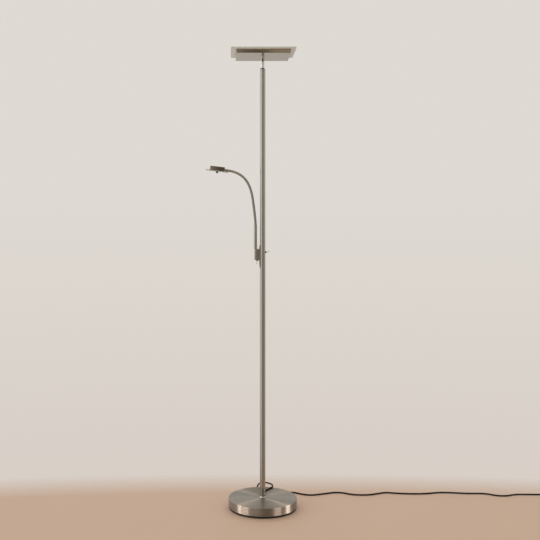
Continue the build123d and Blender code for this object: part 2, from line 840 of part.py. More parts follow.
swivel_bottom = block_top - swivel_length
groove_bottom = set_screw_height - swivel_groove_width / 2
with BuildPart() as arm_swivel_screw:
    with BuildSketch(Plane.XY.offset(swivel_bottom)):
        with Locations((sleeve_x, 0)):
            Circle(swivel_radius)
    extrude(amount=sleeve_bottom + sleeve_floor - swivel_bottom)
    with BuildSketch(Plane.XY.offset(sleeve_bottom + sleeve_floor)):
        with Locations((sleeve_x, 0)):
            Circle(swivel_head_radius)
    extrude(amount=swivel_head_height)
    with BuildSketch(Plane.XY.offset(groove_bottom)):
        with Locations((sleeve_x, 0)):
            Circle(swivel_radius + cut_overrun)
            Circle(swivel_radius - swivel_groove_depth, mode=Mode.SUBTRACT)
    extrude(amount=swivel_groove_width, mode=Mode.SUBTRACT)
store(arm_swivel_screw, "arm_swivel_screw")

set_screw_tip = swivel_radius - swivel_groove_depth + seat_gap
with BuildPart() as arm_set_screw:
    with BuildSketch(Plane.XZ.offset(-block_depth / 2)):
        with Locations((sleeve_x, set_screw_height)):
            Circle(set_screw_radius)
    extrude(amount=block_depth / 2 - set_screw_tip)
store(arm_set_screw, "arm_set_screw")

# Flexible arm


def link_plane(origin, angle):
    """The plane of the arm's bend, with its Y axis along a link that leans by the angle from upright."""
    return Plane(origin=origin, x_dir=(cos(radians(angle)), 0, sin(radians(angle))), z_dir=(0, -1, 0))


def link_direction(angle):
    return Vector(-sin(radians(angle)), 0, cos(radians(angle)))


def link_outline(points, plane):
    """Half a link cut along its axis: the ball of its lower end, its shoulder and the points above that."""
    bottom = (sqrt(ball_radius**2 - ball_drop**2), -ball_drop)
    neck = (sqrt(ball_radius**2 - (link_gap / 2) ** 2), link_gap / 2)
    shoulder = [
        (link_radius - link_end_chamfer, link_gap / 2),
        (link_radius, link_gap / 2 + link_end_chamfer),
    ]
    with BuildSketch(plane) as drawing:
        with BuildLine():
            ThreePointArc(bottom, (ball_radius, 0), neck)
            Polyline(neck, *shoulder, *points, (0, -ball_drop), bottom)
        make_face()
    return drawing.sketch


def grooves(length, count):
    """Outline points of the grooves around a link's body, evenly spaced along it."""
    points = []
    for index in range(count):
        middle = length * (index + 1) / (count + 1)
        points.append((link_radius, middle - link_groove_width / 2))
        points.append((link_radius - link_groove_depth, middle))
        points.append((link_radius, middle + link_groove_width / 2))
    return points


def cup_end(length):
    """Outline points of a link's upper end, with the cup that the next ball sits in."""
    rim = length - link_gap / 2
    return [
        (link_radius, rim - link_end_chamfer),
        (link_radius - link_end_chamfer, rim),
        (ball_recess_radius, rim),
        (ball_recess_radius, length - cup_depth),
        (0, length - cup_depth),
    ]


joint_point = Vector(sleeve_x, 0, sleeve_top + link_gap / 2)
arm_joints = [joint_point]
for number, angle in enumerate(link_angles, start=1):
    length = long_link if number <= long_link_count else short_link
    groove_count = long_link_groove_count if number <= long_link_count else short_link_groove_count
    with BuildPart() as gooseneck_link:
        revolve(
            link_outline(grooves(length, groove_count) + cup_end(length), link_plane(joint_point, angle)),
            axis=Axis(joint_point, link_direction(angle)),
        )
    store(gooseneck_link, f"gooseneck_{number}")
    joint_point = joint_point + link_direction(angle) * length
    arm_joints.append(joint_point)

tip_end = tip_length + reading_wall + tip_insert
tip_nut_start = tip_length + reading_wall
with BuildPart() as gooseneck_tip:
    revolve(
        link_outline(
            [
                (link_radius, tip_nut_start),
                (tip_nut_radius, tip_nut_start),
                (tip_nut_radius, tip_nut_start + tip_nut_height),
                (link_radius, tip_nut_start + tip_nut_height),
                (link_radius, tip_end),
                (0, tip_end),
            ],
            link_plane(joint_point, tip_angle),
        ),
        axis=Axis(joint_point, link_direction(tip_angle)),
    )
store(gooseneck_tip, "gooseneck_tip")
print("arm joints", [(round(point.X, 3), round(point.Z, 3)) for point in arm_joints])

# Reading head, drawn on a plane at the middle of its box. The plane's X axis points back along the arm's tip
# and its Z axis out of the roof.

head_tilt = 90 - tip_angle
roof_direction = Vector(sin(radians(head_tilt)), 0, cos(radians(head_tilt)))
side_point = joint_point + link_direction(tip_angle) * tip_length
head_centre = side_point + link_direction(tip_angle) * (reading_side / 2) + roof_direction * tip_below_centre
head_plane = Plane(
    origin=head_centre,
    x_dir=(cos(radians(head_tilt)), 0, -sin(radians(head_tilt))),
    z_dir=roof_direction,
)
roof_under = reading_height / 2 - reading_roof
with BuildPart() as reading_housing:
    with BuildSketch(head_plane.offset(-reading_height / 2)):
        RectangleRounded(reading_side, reading_side, reading_corner_radius)
    extrude(amount=reading_height)
    fillet(reading_housing.faces().sort_by(Axis.Z)[-1].edges(), reading_edge_radius)
    with BuildSketch(head_plane.offset(roof_under)):
        Rectangle(reading_side - 2 * reading_wall, reading_side - 2 * reading_wall)
    extrude(amount=-reading_height, mode=Mode.SUBTRACT)
    tip_hole_plane = Plane(origin=side_point, x_dir=(0, 1, 0), z_dir=link_direction(tip_angle))
    with BuildSketch(tip_hole_plane.offset(-cut_overrun)):
        Circle(link_radius + running_fit)
    extrude(amount=cut_overrun + 2 * reading_wall, mode=Mode.SUBTRACT)
store(reading_housing, "reading_housing")

board_under = roof_under - reading_board_thickness
with BuildPart() as reading_board:
    with BuildSketch(head_plane.offset(board_under)):
        Rectangle(reading_board_side, reading_board_side)
    extrude(amount=reading_board_thickness)
store(reading_board, "reading_board")

with BuildPart() as reading_chips:
    with BuildSketch(head_plane.offset(board_under)):
        with PolarLocations(reading_chip_circle, reading_chip_count):
            Rectangle(chip_side, chip_side)
    extrude(amount=-chip_height)
store(reading_chips, "reading_chips")

glass_top_level = -reading_height / 2
glass_under_level = glass_top_level - reading_glass_thickness
washer_under_level = glass_under_level - washer_thickness
with BuildPart() as reading_stud:
    with BuildSketch(head_plane.offset(board_under)):
        Circle(stud_flange_radius)
    extrude(amount=-stud_flange_height)
    with BuildSketch(head_plane.offset(board_under)):
        Circle(stud_radius)
    extrude(amount=washer_under_level - stud_reach - board_under)
store(reading_stud, "reading_stud")

with BuildPart() as reading_glass:
    with BuildSketch(head_plane.offset(glass_under_level)):
        RectangleRounded(reading_glass_side, reading_glass_side, reading_glass_corner_radius)
    extrude(amount=reading_glass_thickness)
    glass_faces = reading_glass.faces().sort_by(Axis(head_centre, roof_direction))
    chamfer(glass_faces[0].edges() + glass_faces[-1].edges(), reading_glass_chamfer)
    with BuildSketch(head_plane.offset(glass_under_level)):
        Circle(reading_glass_hole_radius)
    extrude(amount=reading_glass_thickness, mode=Mode.SUBTRACT)
store(reading_glass, "reading_glass")

with BuildPart() as reading_washers:
    for level in (washer_under_level, glass_top_level):
        with BuildSketch(head_plane.offset(level)):
            Circle(washer_radius)
            Circle(stud_radius + running_fit, mode=Mode.SUBTRACT)
        extrude(amount=washer_thickness)
store(reading_washers, "reading_washers")

with BuildPart() as reading_knob:
    with BuildSketch(head_plane.offset(washer_under_level)):
        Circle(knob_radius)
        with PolarLocations(knob_radius, knob_flute_count):
            Circle(knob_flute_radius, mode=Mode.SUBTRACT)
    extrude(amount=-knob_height)
    with BuildSketch(head_plane.offset(washer_under_level)):
        Circle(stud_radius + running_fit)
    extrude(amount=-stud_reach - seat_gap, mode=Mode.SUBTRACT)
store(reading_knob, "reading_knob")

# Mains lead: the grommet in the pole's back, the cable inside the pole and the free cord

grommet_mouth = pole_radius + grommet_flange_reach
with BuildPart() as cord_grommet:
    with BuildSketch(Plane.XZ.offset(-grommet_mouth)):
        with Locations((0, grommet_height)):
            Circle(grommet_flange_radius)
    extrude(amount=grommet_flange_reach + pole_wall + cut_overrun)
    with BuildSketch(Plane.XY.offset(grommet_height - grommet_flange_radius)):
        Circle(pole_radius + running_fit)
    extrude(amount=2 * grommet_flange_radius, mode=Mode.SUBTRACT)
    with BuildSketch(Plane.XZ.offset(-pole_radius - running_fit)):
        with Locations((0, grommet_height)):
            Circle(grommet_neck_radius)
    extrude(amount=pole_wall + cut_overrun)
store(cord_grommet, "cord_grommet")


def corner_radii(points):
    """For each corner of a route, a share of the shorter run beside it, over the tangent of half the turn."""
    radii = []
    for before, corner, after in zip(points, points[1:], points[2:]):
        run_in = Vector(*corner) - Vector(*before)
        run_out = Vector(*after) - Vector(*corner)
        turn = run_in.get_angle(run_out)
        shorter = min(run_in.length, run_out.length)
        radii.append(arc_share * shorter / tan(radians(turn) / 2))
    return radii


inner_cable_start = pole_radius - pole_wall - cut_overrun + running_fit
inner_route = [
    (0, inner_cable_start, grommet_height),
    (0, 0, grommet_height),
    (0, 0, inner_cable_shift_height - inner_cable_shift_run),
    (0, inner_cable_offset, inner_cable_shift_height),
    (0, inner_cable_offset, neck_nut_bottom - inner_cable_top_gap),
]
with BuildPart() as inner_cable:
    with BuildLine():
        FilletPolyline(*inner_route, radius=corner_radii(inner_route))
    with BuildSketch(Plane(origin=inner_route[0], x_dir=(1, 0, 0), z_dir=(0, -1, 0))):
        Circle(inner_cable_radius)
    sweep()
store(inner_cable, "inner_cable")

# The cord's route, from the grommet over the base and along the floor behind it
cord_route = [
    (0, 14, 58),
    (0, 31, 58),
    (3, 47, 49.5),
    (7, 64, 43.5),
    (13, 82, 42.8),
    (22, 100, 42.9),
    (31, 116, 43.6),
    (38, 131, 45.2),
    (32, 146, 47),
    (15, 150, 47.5),
    (-3, 149, 51),
    (-17, 153, 48),
    (-22, 159, 34),
    (-14, 165, 19),
    (4, 170, 8),
    (27, 173, 3.3),
    (56, 171, 3.1),
    (95, 177, 3.1),
    (134, 179, 3.1),
    (165, 154, 3.1),
    (200, 139, 3.1),
    (250, 155, 3.1),
    (300, 177, 3.1),
    (337, 174, 3.1),
    (375, 145, 3.1),
    (440, 143, 3.1),
    (478, 160, 3.1),
    (515, 178, 3.1),
    (560, 164, 3.1),
    (632, 157, 3.1),
    (690, 163, 3.1),
    (735, 177, 3.1),
    (790, 173, 3.1),
    (850, 162, 3.1),
    (925, 164, 3.1),
    (962, 134, 3.1),
    (1005, 131, 3.1),
    (1045, 152, 3.1),
    (1110, 149, 3.1),
    (1171, 149, 3.1),
]
cord_radii = corner_radii(cord_route)
print("cord radii", [round(radius, 1) for radius in cord_radii])
cord_start = Vector(*cord_route[0])
cord_heading = Vector(*cord_route[1]) - cord_start
with BuildPart() as cord_run:
    with BuildLine() as cord_line:
        FilletPolyline(*cord_route, radius=cord_radii)
    with BuildSketch(Plane(origin=cord_start, x_dir=(1, 0, 0), z_dir=cord_heading)):
        Circle(cord_radius)
    sweep()
cord_run_length = sum(edge.length for edge in cord_line.edges())
print("cord run", round(cord_run_length, 1), "volume share",
      round(cord_run.part.volume / (pi * cord_radius**2 * cord_run_length), 4))
store(cord_run, "cord_run")


def biarc(start, start_heading, end, end_heading):
    """Two tangent arcs, as start, heading and end, that join two points along the headings there."""
    across = end - start
    headings = start_heading + end_heading
    along = across.dot(headings)
    bend = 2 * (1 - start_heading.dot(end_heading))
    reach = across.dot(across) / (along + sqrt(along**2 + bend * across.dot(across)))
    before = start + start_heading * reach
    after = end - end_heading * reach
    middle = (before + after) * 0.5
    return [(start, start_heading, middle), (middle, (after - before).normalized(), end)]


# The put-away length: the coil spirals in on the floor, climbs in the half turn where it reverses and
# spirals out again on top, and its tail comes down to the plug
coil_start = Vector(*cord_route[-1])
coil_middle = Vector(coil_start.X + coil_lead, coil_start.Y - coil_radius, 0)
coil_arcs = []
for quarter in range(coil_quarter_count + 1):
    turned = radians(90 - 90 * quarter)
    climbed = min(max(quarter - coil_climb_quarter_count, 0), 2) / 2
    inward = min(quarter, coil_climb_quarter_count + 1)
    outward = max(quarter - coil_climb_quarter_count - 1, 0)
    radius = coil_radius - coil_pitch * (inward - outward) / 4
    point = coil_middle + Vector(radius * cos(turned), radius * sin(turned), cord_floor + coil_pitch * climbed)
    heading = Vector(sin(turned), -cos(turned), 0)
    if quarter > 0:
        coil_arcs += biarc(last_point, last_heading, point, heading)
    last_point, last_heading = point, heading
plug_axis_height = plug_thickness / 2 + floor_clearance
tail_start = last_point + last_heading * coil_tail_level
tail_end = tail_start + last_heading * coil_tail_run
tail_end = Vector(tail_end.X, tail_end.Y, plug_axis_height)
tail_arcs = biarc(tail_start, last_heading, tail_end, last_heading)
plug_start = tail_end + last_heading * (2 * cord_radius)
with BuildPart() as cord_coil:
    with BuildLine() as coil_line:
        Line(coil_start, coil_arcs[0][0])
        for arc_start, arc_heading, arc_end in coil_arcs:
            TangentArc(arc_start, arc_end, tangent=arc_heading)
        Line(last_point, tail_start)
        for arc_start, arc_heading, arc_end in tail_arcs:
            TangentArc(arc_start, arc_end, tangent=arc_heading)
        Line(tail_end, plug_start)
    with BuildSketch(Plane(origin=coil_start, x_dir=(0, 1, 0), z_dir=(1, 0, 0))):
        Circle(cord_radius)
    sweep()
coil_length = sum(edge.length for edge in coil_line.edges())
coil_wire = coil_line.wires()[0]
sample_step = cord_radius / 2
sample_count = int(coil_length / sample_step)
samples = [coil_wire.position_at(index / sample_count) for index in range(sample_count + 1)]
apart = int(pi * coil_radius / sample_step)
least_gap = min(
    (samples[late] - samples[early]).length
    for early in range(len(samples))
    for late in range(early + apart, len(samples))
) - 2 * cord_radius
print("coil", round(coil_length, 1), "least gap", round(least_gap, 2),
      "volume share", round(cord_coil.part.volume / (pi * cord_radius**2 * coil_length), 4))
print("whole cord", round(cord_run_length + coil_length, 1))
store(cord_coil, "cord_coil")

plug_plane = Plane(origin=plug_start, x_dir=(1, 0, 0), z_dir=last_heading)
with BuildPart() as plug_body:
    with BuildSketch(plug_plane):
        Circle(relief_tip_radius)
    with BuildSketch(plug_plane.offset(relief_length)):
        Circle(relief_root_radius)
    loft()
    for index in range(relief_groove_count):
        middle = relief_length * (index + 1) / (relief_groove_count + 1)
        with BuildSketch(plug_plane.offset(middle - relief_groove_width / 2)):
            Circle(relief_root_radius + cut_overrun)
            Circle(relief_tip_radius - relief_groove_depth, mode=Mode.SUBTRACT)
        extrude(amount=relief_groove_width, mode=Mode.SUBTRACT)
    with BuildSketch(plug_plane.offset(relief_length)):
        RectangleRounded(plug_rear_width, plug_rear_thickness, plug_corner_radius)
    with BuildSketch(plug_plane.offset(relief_length + plug_shoulder_length)):
        RectangleRounded(plug_width, plug_thickness, plug_corner_radius)
    loft()
    with BuildSketch(plug_plane.offset(relief_length + plug_shoulder_length)):
        RectangleRounded(plug_width, plug_thickness, plug_corner_radius)
    extrude(amount=plug_front_length)
store(plug_body, "plug_body")

with BuildPart() as plug_pins:
    with BuildSketch(plug_plane.offset(relief_length + plug_shoulder_length + plug_front_length)):
        with GridLocations(plug_pin_spacing, 0, 2, 1):
            Circle(plug_pin_radius)
    extrude(amount=plug_pin_length)
    fillet(plug_pins.faces().sort_by(Axis.Y)[:2].edges(), plug_pin_radius / 2)
store(plug_pins, "plug_pins")
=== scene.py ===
import json

import bmesh
import bpy
import numpy as np
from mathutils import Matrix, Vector


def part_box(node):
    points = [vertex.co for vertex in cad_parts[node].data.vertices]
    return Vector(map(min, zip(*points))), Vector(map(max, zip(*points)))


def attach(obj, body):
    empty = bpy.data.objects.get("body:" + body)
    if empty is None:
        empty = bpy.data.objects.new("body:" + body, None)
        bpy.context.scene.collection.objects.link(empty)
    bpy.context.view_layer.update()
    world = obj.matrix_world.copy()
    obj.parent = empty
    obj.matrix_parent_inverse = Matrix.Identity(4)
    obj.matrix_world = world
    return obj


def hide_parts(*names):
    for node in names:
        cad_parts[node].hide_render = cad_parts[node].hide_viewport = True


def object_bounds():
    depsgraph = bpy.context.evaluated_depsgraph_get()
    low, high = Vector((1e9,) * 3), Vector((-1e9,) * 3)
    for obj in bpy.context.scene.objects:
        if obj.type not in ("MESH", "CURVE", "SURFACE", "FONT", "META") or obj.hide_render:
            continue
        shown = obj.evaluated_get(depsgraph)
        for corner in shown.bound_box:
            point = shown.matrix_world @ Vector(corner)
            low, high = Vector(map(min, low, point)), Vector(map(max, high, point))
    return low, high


# The looks of a floor lamp with a square uplight and a reading light on a flexible arm.
# Metres. The floor is at zero, +Z is up, the camera looks along +Y, and the reading arm reaches
# towards -X.

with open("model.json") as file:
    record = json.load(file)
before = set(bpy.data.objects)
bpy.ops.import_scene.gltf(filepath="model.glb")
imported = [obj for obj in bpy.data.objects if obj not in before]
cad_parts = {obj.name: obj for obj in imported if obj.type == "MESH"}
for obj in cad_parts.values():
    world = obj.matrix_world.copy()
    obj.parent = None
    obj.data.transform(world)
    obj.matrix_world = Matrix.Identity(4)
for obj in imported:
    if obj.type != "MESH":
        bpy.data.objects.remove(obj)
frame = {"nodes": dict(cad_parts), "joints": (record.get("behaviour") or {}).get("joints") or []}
cad_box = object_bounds()
nodes = frame["nodes"]

MERGE_DISTANCE = 1e-6
SHARP_ANGLE = np.radians(35)
HOLD_SHARE = 0.35
CORNER_STEPS = 8
UPRIGHT_SHARE = 0.9


def corners(node):
    """The lowest and highest corner of a CAD node, as arrays."""
    low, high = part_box(node)
    return np.array(low), np.array(high)


def unit(vector):
    vector = np.array(vector, float)
    return vector / np.linalg.norm(vector, axis=-1, keepdims=True)


def powered(value, power):
    """A value's size to a power, with the value's own sign."""
    return np.sign(value) * np.abs(value) ** power


def lengths_along(line):
    """How far each point of a line is along it."""
    steps = np.linalg.norm(np.diff(line, axis=0), axis=1)
    return np.concatenate([[0], np.cumsum(steps)])


def points_at(line, reach):
    """The points of a line at the given lengths along it."""
    lengths = lengths_along(line)
    return np.stack([np.interp(reach, lengths, part) for part in line.T], axis=1)


def all_round(columns):
    """The angles of a ring's columns."""
    return np.linspace(0, 2 * np.pi, columns, endpoint=False)


def new_object(name, data):
    made = bpy.data.objects.new(name, data)
    bpy.context.scene.collection.objects.link(made)
    return made


# Shapes


def surface(name, grid):
    """A closed surface through rows and columns of points. The last column meets the first, and
    points in one place are merged, so a row in one place is a pole."""
    rows, columns = grid.shape[:2]
    index = np.arange(rows * columns).reshape(rows, columns)
    index = np.concatenate([index, index[:, :1]], axis=1)
    faces = np.stack([index[:-1, :-1], index[:-1, 1:], index[1:, 1:], index[1:, :-1]], axis=-1)
    mesh = bpy.data.meshes.new(name)
    mesh.from_pydata(grid.reshape(-1, 3).tolist(), [], faces.reshape(-1, 4).tolist())
    work = bmesh.new()
    work.from_mesh(mesh)
    bmesh.ops.remove_doubles(work, verts=work.verts, dist=MERGE_DISTANCE)
    bmesh.ops.dissolve_degenerate(work, edges=work.edges, dist=MERGE_DISTANCE)
    bmesh.ops.recalc_face_normals(work, faces=work.faces)
    if work.calc_volume(signed=True) < 0:
        bmesh.ops.reverse_faces(work, faces=work.faces)
    work.to_mesh(mesh)
    work.free()
    mesh.shade_smooth()
    mesh.set_sharp_from_angle(angle=SHARP_ANGLE)
    return new_object(name, mesh)


def rounded(points, sizes, steps=4):
    """A profile with its inner corners rounded. A corner C becomes the curve
    (1-t)²A + 2t(1-t)C + t²B, with A and B on its sides, the size away from C. One more point a
    little further out on each side keeps that side flat."""
    points = np.array(points, float)
    corner = points[1:-1]
    size = np.broadcast_to(np.array(sizes, float), len(corner))[:, None]
    back = unit(points[:-2] - corner)
    ahead = unit(points[2:] - corner)
    first = corner + back * size
    last = corner + ahead * size
    t = np.linspace(0, 1, steps + 1)[None, :, None]
    curve = (1 - t) ** 2 * first[:, None] + 2 * t * (1 - t) * corner[:, None] + t**2 * last[:, None]
    before = (first + back * size * HOLD_SHARE)[:, None]
    after = (last + ahead * size * HOLD_SHARE)[:, None]
    curve = np.concatenate([before, curve, after], axis=1)
    return np.concatenate([points[:1], curve.reshape(-1, 2), points[-1:]])


def closed_loop(points, sizes, steps=4):
    """A closed profile with all its corners rounded but the first point, which lies on a straight
    side."""
    return rounded([*points, points[0]], sizes, steps)


def turned(name, profile, centre, axis=(0, 0, 1), columns=96):
    """A turned piece. The point (r, h) of the profile, carried round by the angle a, comes to
    centre + h axis + r (cos a side + sin a front)."""
    profile = np.array(profile, float)
    axis = unit(axis)
    runs_along_y = abs(axis[1]) > UPRIGHT_SHARE
    side = np.array([1.0, 0, 0]) if runs_along_y else unit(np.cross((0, 1, 0), axis))
    front = np.cross(axis, side)
    angle = all_round(columns)[:, None]
    ring = np.cos(angle) * side + np.sin(angle) * front
    heights = profile[:, 1, None, None] * axis
    grid = np.array(centre, float) + heights + profile[:, 0, None, None] * ring
    return surface(name, grid)


def slab(name, half_x, half_y, radii, profile, centre, across=(1, 0, 0), up=(0, 0, 1)):
    """A piece with a rounded rectangle for its outline. At each (inset, height) of the profile
    its half sides and its corners' radii are less by the inset. The radius is one for all
    corners, or one for each, in the order ++, -+, --, +-."""
    profile = np.array(profile, float)
    across = unit(across)
    up = unit(up)
    deep = np.cross(up, across)
    inset = profile[:, 0, None]
    height = profile[:, 1, None, None]
    quarter = np.repeat(np.arange(4), CORNER_STEPS + 1)
    radius = np.maximum(np.broadcast_to(radii, 4)[quarter] - inset, 0)
    angle = quarter * np.pi / 2 + np.tile(np.linspace(0, np.pi / 2, CORNER_STEPS + 1), 4)
    sign_x = np.array([1, -1, -1, 1])[quarter]
    sign_y = np.array([1, 1, -1, -1])[quarter]
    x = sign_x * np.maximum(half_x - inset - radius, 0) + radius * np.cos(angle)
    y = sign_y * np.maximum(half_y - inset - radius, 0) + radius * np.sin(angle)
    grid = np.array(centre, float) + x[..., None] * across + y[..., None] * deep + height * up
    return surface(name, grid)


def capped(grid, first, last):
    """A grid with one more row at each end, each with all its points in one place."""
    ends = [np.broadcast_to(place, (1, grid.shape[1], 3)) for place in (first, last)]
    return np.concatenate([ends[0], grid, ends[1]])


def tube(name, path, radii, columns=24, sideways=(0, 1, 0), along=None):
    """A tube along a path. The ring at each point P of the path has its own radius, or a radius
    for each column, and lies square to the path, or to along. Its points are
    P + r (cos a U + sin a V), with V square to the path and to sideways."""
    path = np.array(path, float)
    radii = np.array(radii, float).reshape(len(path), -1, 1)
    along = unit(np.gradient(path, axis=0) if along is None else np.broadcast_to(along, path.shape))
    v = unit(np.cross(along, np.broadcast_to(sideways, along.shape)))
    u = np.cross(v, along)
    angle = all_round(columns)[None, :, None]
    grid = path[:, None] + radii * (np.cos(angle) * u[:, None] + np.sin(angle) * v[:, None])
    return surface(name, capped(grid, path[0], path[-1]))


# Shader nodes


def feed(tree, value, socket):
    """Links a value that comes out of a node to a socket, or sets the socket to a plain one."""
    if isinstance(value, bpy.types.NodeSocket):
        tree.links.new(value, socket)
    else:
        socket.default_value = (*value, 1) if socket.type == "RGBA" else value


def add_node(tree, kind, inputs, **settings):
    """Adds a node with its settings, then feeds its inputs, given by their names or numbers."""
    node = tree.nodes.new(f"ShaderNode{kind}")
    for label, value in settings.items():
        setattr(node, label, value)
    for label, value in inputs.items():
        feed(tree, value, node.inputs[label])
    return node


def noise(tree, vector, scale, detail, roughness=0.5):
    given = {"Vector": vector, "Scale": scale, "Detail": detail, "Roughness": roughness}
    return add_node(tree, "TexNoise", given).outputs["Fac"]


def math(tree, operation, *values):
    return add_node(tree, "Math", dict(enumerate(values)), operation=operation).outputs[0]


def weighted_sum(tree, total, *terms):
    """A number plus each term's value times its weight."""
    for value, weight in terms:
        total = math(tree, "MULTIPLY_ADD", value, weight, total)
    return total


def span(tree, value, low, high, to_low=0.0, to_high=1.0):
    """A value carried from one range to another, and held at its ends."""
    given = {"Value": value, "From Min": low, "From Max": high, "To Min": to_low, "To Max": to_high}
    return add_node(tree, "MapRange", given).outputs["Result"]


def split(tree, vector):
    """The x, y and z of a vector."""
    return add_node(tree, "SeparateXYZ", {0: vector}).outputs


def mixed(tree, factor, first, second):
    """A colour between two, each plain or from a node. The Mix node's colours are inputs 6, 7."""
    given = {0: factor, 6: first, 7: second}
    return add_node(tree, "Mix", given, data_type="RGBA").outputs[2]


def object_place(tree):
    return add_node(tree, "TexCoord", {}).outputs["Object"]


def bumped(tree, shader, height, strength, distance=0.0002):
    given = {"Height": height, "Strength": strength, "Distance": distance}
    feed(tree, add_node(tree, "Bump", given).outputs["Normal"], shader.inputs["Normal"])


# Shared effects

GRAIN_SPAN = (0.3, 0.7)
BROAD_BANDS = 0.13
PATCH_SPAN = (0.42, 0.72)
SPECK_SPAN = (0.7, 0.8)
SPECKS_PER_PATCH = 40.0


def new_group(name, inputs, outputs):
    """A node group, from the names and kinds of its inputs and outputs."""
    group = bpy.data.node_groups.new(name, "ShaderNodeTree")
    for way, sockets in (("INPUT", inputs), ("OUTPUT", outputs)):
        for label, kind in sockets.items():
            group.interface.new_socket(name=label, in_out=way, socket_type=f"NodeSocket{kind}")
    given, result = (group.nodes.new(f"NodeGroup{way}") for way in ("Input", "Output"))
    return group, given.outputs, result.inputs


def brushed_grain():
    """Fine scratches over broad faint bands, along the way in which the vector isn't squeezed.
    Share is that of the fine ones in the grain."""
    group, given, result = new_group(
        "brushed_grain",
        {"Vector": "Vector", "Share": "Float"}, {"Grain": "Float", "Height": "Float"},
    )
    fine = noise(group, given["Vector"], scale=1.0, detail=2.0, roughness=0.7)
    broad = noise(group, given["Vector"], scale=BROAD_BANDS, detail=1.0)
    broad_share = math(group, "SUBTRACT", 1.0, given["Share"])
    both = weighted_sum(group, 0.0, (fine, given["Share"]), (broad, broad_share))
    feed(group, span(group, both, *GRAIN_SPAN), result["Grain"])
    feed(group, fine, result["Height"])
    return group


def round_the_axis():
    """Turns a place into (distance from the Z axis less the height, x, y), for marks that run in
    circles over a flat top and round its side, without a seam."""
    group, given, result = new_group("round_the_axis", {"Vector": "Vector"}, {"Vector": "Vector"})
    x, y, z = split(group, given["Vector"])
    distance = math(group, "SQRT", weighted_sum(group, 0.0, (x, x), (y, y)))
    joined = add_node(group, "CombineXYZ", {0: math(group, "SUBTRACT", distance, z), 1: x, 2: y})
    feed(group, joined.outputs[0], result["Vector"])
    return group


def handling_marks():
    """Soft patches where hands have dulled a finish, and a few small specks of dust."""
    group, given, result = new_group(
        "handling_marks",
        {"Vector": "Vector", "Scale": "Float"}, {"Patches": "Float", "Specks": "Float"},
    )
    patches = noise(group, given["Vector"], given["Scale"], detail=3.0, roughness=0.6)
    speck_scale = math(group, "MULTIPLY", given["Scale"], SPECKS_PER_PATCH)
    specks = noise(group, given["Vector"], speck_scale, detail=1.0)
    feed(group, span(group, patches, *PATCH_SPAN), result["Patches"])
    feed(group, span(group, specks, *SPECK_SPAN), result["Specks"])
    return group


GRAIN = brushed_grain()
ROUND = round_the_axis()
MARKS = handling_marks()


def place(tree, group, vector, **values):
    """Puts a shared effect into a material and returns its outputs."""
    return add_node(tree, "Group", {"Vector": vector, **values}, node_tree=group).outputs


# Materials

QUARTER_TURN = 0.25
SATIN_PATCHES = 22.0
PLATE_PATCHES = 180.0
GLASS_PATCHES = 60.0
GRAINS_PER_PATCH = 40
FINE_SHARE = 0.6
FINE_SHARE_IN_CIRCLES = 0.3
HANDLED_TONE = -0.12
SATIN_UNEVENNESS = 0.03
WIPED_DULLING = 0.12
SPECK_DULLING = 0.2
GRAIN_DULLING = 0.2
PIT_DULLING = 0.3
GLASS_DULLING = 0.03
PITS_SCALE = 400.0
FROST_SCALE = 900.0
PHOSPHOR_SCALE = 1500.0
GLASS_IOR = 1.5
SATINED_TRANSMISSION = 0.12
CHIP_PITCH = 0.022
LIT_FADE = (0.069, 0.101)
BETWEEN_CHIPS = 0.62
RIM_GLOW = 0.02
BLACK = (0, 0, 0)
WHITE = (1, 1, 1)
PALE_PHOSPHOR = (1.0, 0.95, 0.7)
PALE_GLOW = (1, 0.9, 0.75)


def new_material(name, **sockets):
    """A material, its tree and its shader, with what is the same all over set on the shader."""
    made = bpy.data.materials.new(name)
    made.use_nodes = True
    shader = made.node_tree.nodes["Principled BSDF"]
    for label, value in sockets.items():
        label = label.replace("_", " ").title().replace("Ior", "IOR")
        shader.inputs[label].default_value = value
    return made, made.node_tree, shader


def dress(tree, shader, colour, roughness, *terms):
    """Gives a shader its colour, and its roughness with what the terms add to it."""
    feed(tree, colour, shader.inputs["Base Color"])
    feed(tree, weighted_sum(tree, roughness, *terms), shader.inputs["Roughness"])


def brushed_metal(name, dark, light, roughness, squeeze, bump, anisotropy=0.0, circles=False):
    """Plated steel with a satin finish: fine scratches along one way, a little duller where it
    has been handled. Its gloss spreads across the scratches, a quarter turn from the tangent that
    runs round the Z axis."""
    made, tree, shader = new_material(
        name, metallic=1.0, anisotropic=anisotropy, anisotropic_rotation=QUARTER_TURN
    )
    vector = object_place(tree)
    patches = place(tree, MARKS, vector, Scale=SATIN_PATCHES)["Patches"]
    if circles:
        vector = place(tree, ROUND, vector)["Vector"]
    squeezed = add_node(tree, "Mapping", {"Vector": vector, "Scale": squeeze}).outputs[0]
    share = FINE_SHARE_IN_CIRCLES if circles else FINE_SHARE
    grain, height = place(tree, GRAIN, squeezed, Share=share)
    tone = weighted_sum(tree, grain, (patches, HANDLED_TONE))
    colour = mixed(tree, tone, dark, light)
    dress(tree, shader, colour, roughness, (grain, SATIN_UNEVENNESS), (patches, SATIN_UNEVENNESS))
    bumped(tree, shader, height, bump)
    return made


def bright_plate(name, dark, light, roughness):
    """Bright plating with faint wiping marks and a few specks."""
    made, tree, shader = new_material(name, metallic=1.0)
    patches, specks = place(tree, MARKS, object_place(tree), Scale=PLATE_PATCHES)
    colour = mixed(tree, patches, light, dark)
    dress(tree, shader, colour, roughness, (patches, WIPED_DULLING), (specks, SPECK_DULLING))
    bumped(tree, shader, patches, strength=0.04)
    return made


